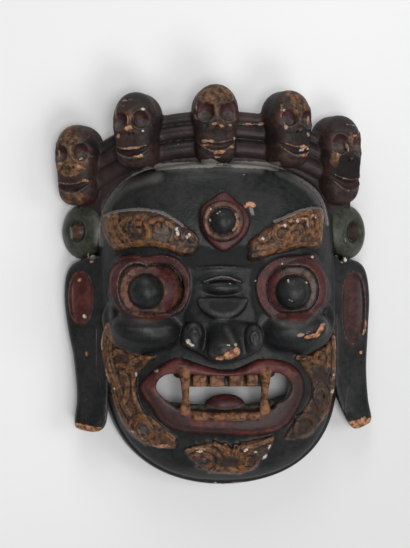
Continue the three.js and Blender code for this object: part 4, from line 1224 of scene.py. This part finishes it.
mask_mesh.polygons.foreach_set("use_smooth", np.ones(len(mask_mesh.polygons), bool))

# Paint areas as distances, and how proud or sunk each point is, kept on the points of the mesh.
place = np.empty(len(mask_mesh.vertices) * 3, np.float32)
mask_mesh.vertices.foreach_get("co", place)
place = place.reshape(-1, 3).astype(float) / MM - np.array([0, rise_to_origin, 0])
furthest = 8.0
for colour, areas in paint.items():
    nearest = np.full(len(place), furthest)
    for distance, low, high in areas:
        here = np.all((place > low) & (place < high), axis=1)
        nearest[here] = np.minimum(nearest[here], distance(*place[here].T))
    layer = mask_mesh.attributes.new("paint_" + colour, "FLOAT", "POINT")
    layer.data.foreach_set("value", np.clip(nearest, -furthest, furthest).astype(np.float32))


def blurred(volume, radius):
    half = max(1, int(round(radius / cell)))
    for axis in range(3):
        for _ in range(2):
            pad = [(0, 0)] * 3
            pad[axis] = (half + 1, half)
            total = np.cumsum(np.pad(volume, pad, mode="edge"), axis=axis, dtype=np.float32)
            ahead = [slice(None)] * 3
            behind = [slice(None)] * 3
            ahead[axis] = slice(2 * half + 1, None)
            behind[axis] = slice(0, -2 * half - 1)
            volume = (total[tuple(ahead)] - total[tuple(behind)]) / (2 * half + 1)
    return volume


def sampled(volume, at):
    spot = (at - grid_low) / cell
    base = np.clip(np.floor(spot).astype(int), 0, np.array(volume.shape) - 2)
    part = spot - base
    total = np.zeros(len(at))
    for i in (0, 1):
        for j in (0, 1):
            for k in (0, 1):
                share = np.ones(len(at))
                for axis, step in enumerate((i, j, k)):
                    share = share * (part[:, axis] if step else 1 - part[:, axis])
                total += share * volume[base[:, 0] + i, base[:, 1] + j, base[:, 2] + k]
    return total


facing = np.empty(len(mask_mesh.vertices) * 3, np.float32)
mask_mesh.vertices.foreach_get("normal", facing)
facing = facing.reshape(-1, 3)
paint_edge = 1.2
back = np.maximum(sampled(hollow, place) - paint_edge, 10 * (facing[:, 2] - 0.12))
back = np.minimum(back, place[:, 2] - paint_edge)
layer = mask_mesh.attributes.new("paint_inside", "FLOAT", "POINT")
layer.data.foreach_set("value", np.clip(back, -furthest, furthest).astype(np.float32))

filled = np.clip(0.5 - wood / cell, 0, 1)
for name, radius in (("cup_small", 1.6), ("cup_wide", 5.0)):
    hold = sampled(blurred(filled, radius), place) - 0.5
    layer = mask_mesh.attributes.new(name, "FLOAT", "POINT")
    layer.data.foreach_set("value", hold.astype(np.float32))

# ---------------------------------------------------------------------------------------------------------------
# Paint and varnish. Black, dark red, ochre, green and bone colours brushed on over a dark ground, browned by smoke
# and handling, under a worn satin varnish. Wood shows where the paint has chipped. Painted shade, painted highlights
# and a painted sheen are laid into the colour as well.
# ---------------------------------------------------------------------------------------------------------------
finish = bpy.data.materials.new("painted_wood")
finish.use_nodes = True
tree = finish.node_tree
shader = tree.nodes["Principled BSDF"]
paint_gloss = 0.2
shader.inputs["Specular IOR Level"].default_value = paint_gloss


def node(kind, **values):
    made = tree.nodes.new(kind)
    for name, value in values.items():
        if hasattr(made, name):
            setattr(made, name, value)
        else:
            made.inputs[name].default_value = value
    return made


def wire(a, b):
    tree.links.new(a, b)


def arithmetic(operation, a, b=None, c=None):
    made = node("ShaderNodeMath", operation=operation)
    for socket, value in zip(made.inputs, (a, b, c)):
        if value is None:
            continue
        if isinstance(value, (int, float)):
            socket.default_value = value
        else:
            wire(value, socket)
    return made.outputs[0]


def noise(scale, detail=4.0, rough=0.55, stretch=(1, 1, 1), seed=0.0):
    where = node("ShaderNodeMapping")
    where.inputs["Scale"].default_value = stretch
    where.inputs["Location"].default_value = (seed, seed * 0.7, -seed)
    wire(object_place.outputs["Object"], where.inputs["Vector"])
    made = node("ShaderNodeTexNoise")
    made.inputs["Scale"].default_value = scale
    made.inputs["Detail"].default_value = detail
    made.inputs["Roughness"].default_value = rough
    wire(where.outputs["Vector"], made.inputs["Vector"])
    return made.outputs["Fac"]


def band(value, low, high, a=0.0, b=1.0):
    made = node("ShaderNodeMapRange", interpolation_type="SMOOTHSTEP")
    for name, number in (("From Min", low), ("From Max", high), ("To Min", a), ("To Max", b)):
        made.inputs[name].default_value = number
    wire(value, made.inputs["Value"])
    return made.outputs["Result"]


def mixed(factor, under, over):
    made = node("ShaderNodeMix", data_type="RGBA")
    for socket, value in ((made.inputs[0], factor), (made.inputs[6], under), (made.inputs[7], over)):
        if isinstance(value, tuple):
            socket.default_value = (*value, 1)
        elif isinstance(value, (int, float)):
            socket.default_value = value
        else:
            wire(value, socket)
    return made.outputs[2]


def held(name):
    made = node("ShaderNodeAttribute", attribute_name=name)
    return made.outputs["Fac"]


object_place = node("ShaderNodeTexCoord")
ragged = noise(260, 3, 0.6, seed=1.0)
broad = noise(34, 4, 0.6, seed=2.0)
fine = noise(900, 3, 0.6, seed=3.0)
streak = noise(120, 4, 0.6, (1, 3.5, 1), seed=4.0)
mottle = noise(190, 3, 0.65, seed=5.0)
cup_small = held("cup_small")
cup_wide = held("cup_wide")


def area(name, wander=1.2):
    edge = arithmetic("MULTIPLY_ADD", ragged, wander * 2, -wander)
    return band(arithmetic("ADD", held("paint_" + name), edge), 0.45, -0.45)


cloud = arithmetic("MULTIPLY_ADD", broad, 0.55, arithmetic("MULTIPLY", mottle, 0.45))
# Dirt and painted shade in the cuts, painted shade in hollows, rubbed edges, hand grey and painted sheen on bulges.
grime_and_shade = band(cup_small, 0.03, 0.14)
deep = band(cup_wide, 0.08, 0.30)
rubbed = arithmetic("MULTIPLY", band(cup_small, -0.10, -0.20), band(ragged, 0.38, 0.62))
handled_and_sheen = arithmetic("MULTIPLY", band(cup_wide, -0.08, -0.26), band(cloud, 0.40, 0.58))
broken = band(arithmetic("ADD", ragged, arithmetic("MULTIPLY", broad, 0.6)), 0.62, 0.86)

# Each paint is brushed on unevenly, so it runs from a dark to a light shade with one of the patterns above.
paints = {name: mixed(band(pattern, low, high), dark, light) for name, pattern, low, high, dark, light in (
    ("black", cloud, 0.36, 0.64, (0.0060, 0.0068, 0.0070), (0.0175, 0.0182, 0.0176)),
    ("brown", broad, 0.35, 0.70, (0.016, 0.011, 0.011), (0.036, 0.020, 0.019)),
    ("tan", mottle, 0.38, 0.64, (0.040, 0.020, 0.013), (0.17, 0.085, 0.040)),
    ("skull", cloud, 0.40, 0.60, (0.011, 0.0085, 0.008), (0.037, 0.018, 0.014)),
    ("umber", mottle, 0.38, 0.60, (0.024, 0.016, 0.013), (0.094, 0.043, 0.020)),
    ("ochre", mottle, 0.38, 0.62, (0.050, 0.025, 0.014), (0.185, 0.078, 0.028)),
    ("red", cloud, 0.38, 0.62, (0.040, 0.012, 0.011), (0.105, 0.027, 0.021)),
    ("oxblood", cloud, 0.38, 0.62, (0.023, 0.0095, 0.009), (0.072, 0.018, 0.016)),
    ("salmon", mottle, 0.34, 0.62, (0.060, 0.026, 0.019), (0.19, 0.095, 0.070)),
    ("ring", mottle, 0.36, 0.62, (0.026, 0.014, 0.011), (0.082, 0.037, 0.024)),
    ("socket", cloud, 0.38, 0.62, (0.018, 0.009, 0.009), (0.066, 0.018, 0.017)),
    ("crimson", mottle, 0.30, 0.70, (0.026, 0.009, 0.010), (0.078, 0.016, 0.018)),
    ("slate", mottle, 0.30, 0.70, (0.045, 0.038, 0.034), (0.115, 0.096, 0.084)),
    ("rose", cloud, 0.38, 0.62, (0.030, 0.013, 0.013), (0.088, 0.026, 0.024)),
    ("bone", mottle, 0.36, 0.62, (0.042, 0.018, 0.010), (0.190, 0.086, 0.042)),
    ("gum", mottle, 0.30, 0.70, (0.024, 0.023, 0.020), (0.078, 0.072, 0.060)),
    ("green", cloud, 0.38, 0.62, (0.017, 0.021, 0.013), (0.050, 0.054, 0.036)),
    ("raw", mottle, 0.36, 0.62, (0.11, 0.042, 0.020), (0.43, 0.21, 0.11)),
    ("fleck", fine, 0.40, 0.60, (0.20, 0.16, 0.13), (0.58, 0.53, 0.45)),
    ("inside", broad, 0.30, 0.70, (0.030, 0.019, 0.012), (0.085, 0.052, 0.030)))}
paints["bone"] = mixed(arithmetic("MULTIPLY", rubbed, 0.5), paints["bone"], (0.25, 0.13, 0.065))
# Pale grey on edges and rims, partly rubbed paint and partly painted highlight where the light catches them.
paints["grey"] = (0.21, 0.19, 0.17)
paints["wear"] = (0.36, 0.22, 0.145)


def coated(colour, coats):
    for name, wander, cover in coats:
        shown_part = area(name, wander) if cover == 1 else arithmetic("MULTIPLY", area(name, wander), cover)
        colour = mixed(shown_part, colour, paints[name])
    return colour


def drifted(name, reach):
    return arithmetic("ADD", held("paint_" + name), arithmetic("MULTIPLY_ADD", cloud, 2 * reach, -reach))


# The coats, first to last: the name of the paint, how far its edge wanders and how much of what is under it it hides.
colour = coated(paints["black"], (
    ("brown", 1.2, 1), ("skull", 1.2, 1), ("tan", 3.0, arithmetic("MULTIPLY_ADD", broken, 0.7, 0.3)),
    ("socket", 1.6, 1), ("green", 1.2, 1), ("rose", 2.2, 0.85), ("red", 1.0, 1), ("oxblood", 0.8, 1),
    ("umber", 0.8, 1), ("ring", 1.6, 1), ("ochre", 2.2, band(broad, 0.66, 0.50, 0.35, 1.0)), ("salmon", 2.0, 0.8),
    ("slate", 2.2, 0.7), ("crimson", 1.8, 1), ("black", 0.8, 1), ("gum", 1.0, 1)))

# What the years have put on, and the light laid into the colour: painted shade, brown stains, a painted pale sheen,
# the grey of hands with a painted sheen, dirt with painted shade in the cuts, painted shade in the hollows, and rubbed
# edges.
painted_shade_mask = band(drifted("shade", 3.0), 1.5, -2.0)
for where, cover, tint in (
        (painted_shade_mask, 0.7, (0.003, 0.0033, 0.0036)),
        (band(drifted("stain", 8.0), 2.0, -3.0), 0.75, (0.020, 0.015, 0.014)),
        (band(drifted("painted_sheen", 6.0), 4.5, -3.0), 0.6, (0.115, 0.112, 0.106)),
        (handled_and_sheen, 0.30, (0.085, 0.076, 0.069)),
        (grime_and_shade, 0.85, (0.009, 0.008, 0.008)),
        (deep, 0.6, (0.010, 0.009, 0.010)),
        (rubbed, 0.6, (0.135, 0.112, 0.098))):
    colour = mixed(arithmetic("MULTIPLY", where, cover), colour, tint)
colour = coated(colour, (
    ("bone", 0.7, arithmetic("MULTIPLY_ADD", grime_and_shade, -0.7, 1.0)), ("grey", 1.4, 0.7), ("wear", 1.8, 0.7),
    ("raw", 1.9, 1), ("fleck", 1.3, 1), ("inside", 0.6, 1)))
wire(colour, shader.inputs["Base Color"])

rough = arithmetic("ADD", arithmetic("MULTIPLY", broad, 0.22), arithmetic("MULTIPLY_ADD", rubbed, 0.2, 0.30))
duller = arithmetic("MAXIMUM", area("bone"), arithmetic("MULTIPLY", area("skull"), 0.6))
rough = arithmetic("ADD", rough, arithmetic("MULTIPLY", duller, 0.22))
rough = arithmetic("ADD", rough, arithmetic("MULTIPLY", painted_shade_mask, 0.3))
wire(rough, shader.inputs["Roughness"])
bump = node("ShaderNodeBump")
bump.inputs["Strength"].default_value = 0.35
bump.inputs["Distance"].default_value = 0.0012
wire(arithmetic("ADD", arithmetic("MULTIPLY", ragged, 0.6), arithmetic("MULTIPLY", streak, 0.5)), bump.inputs["Height"])
wire(bump.outputs["Normal"], shader.inputs["Normal"])
mask_mesh.materials.append(finish)

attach(mask, "root")
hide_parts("mask")
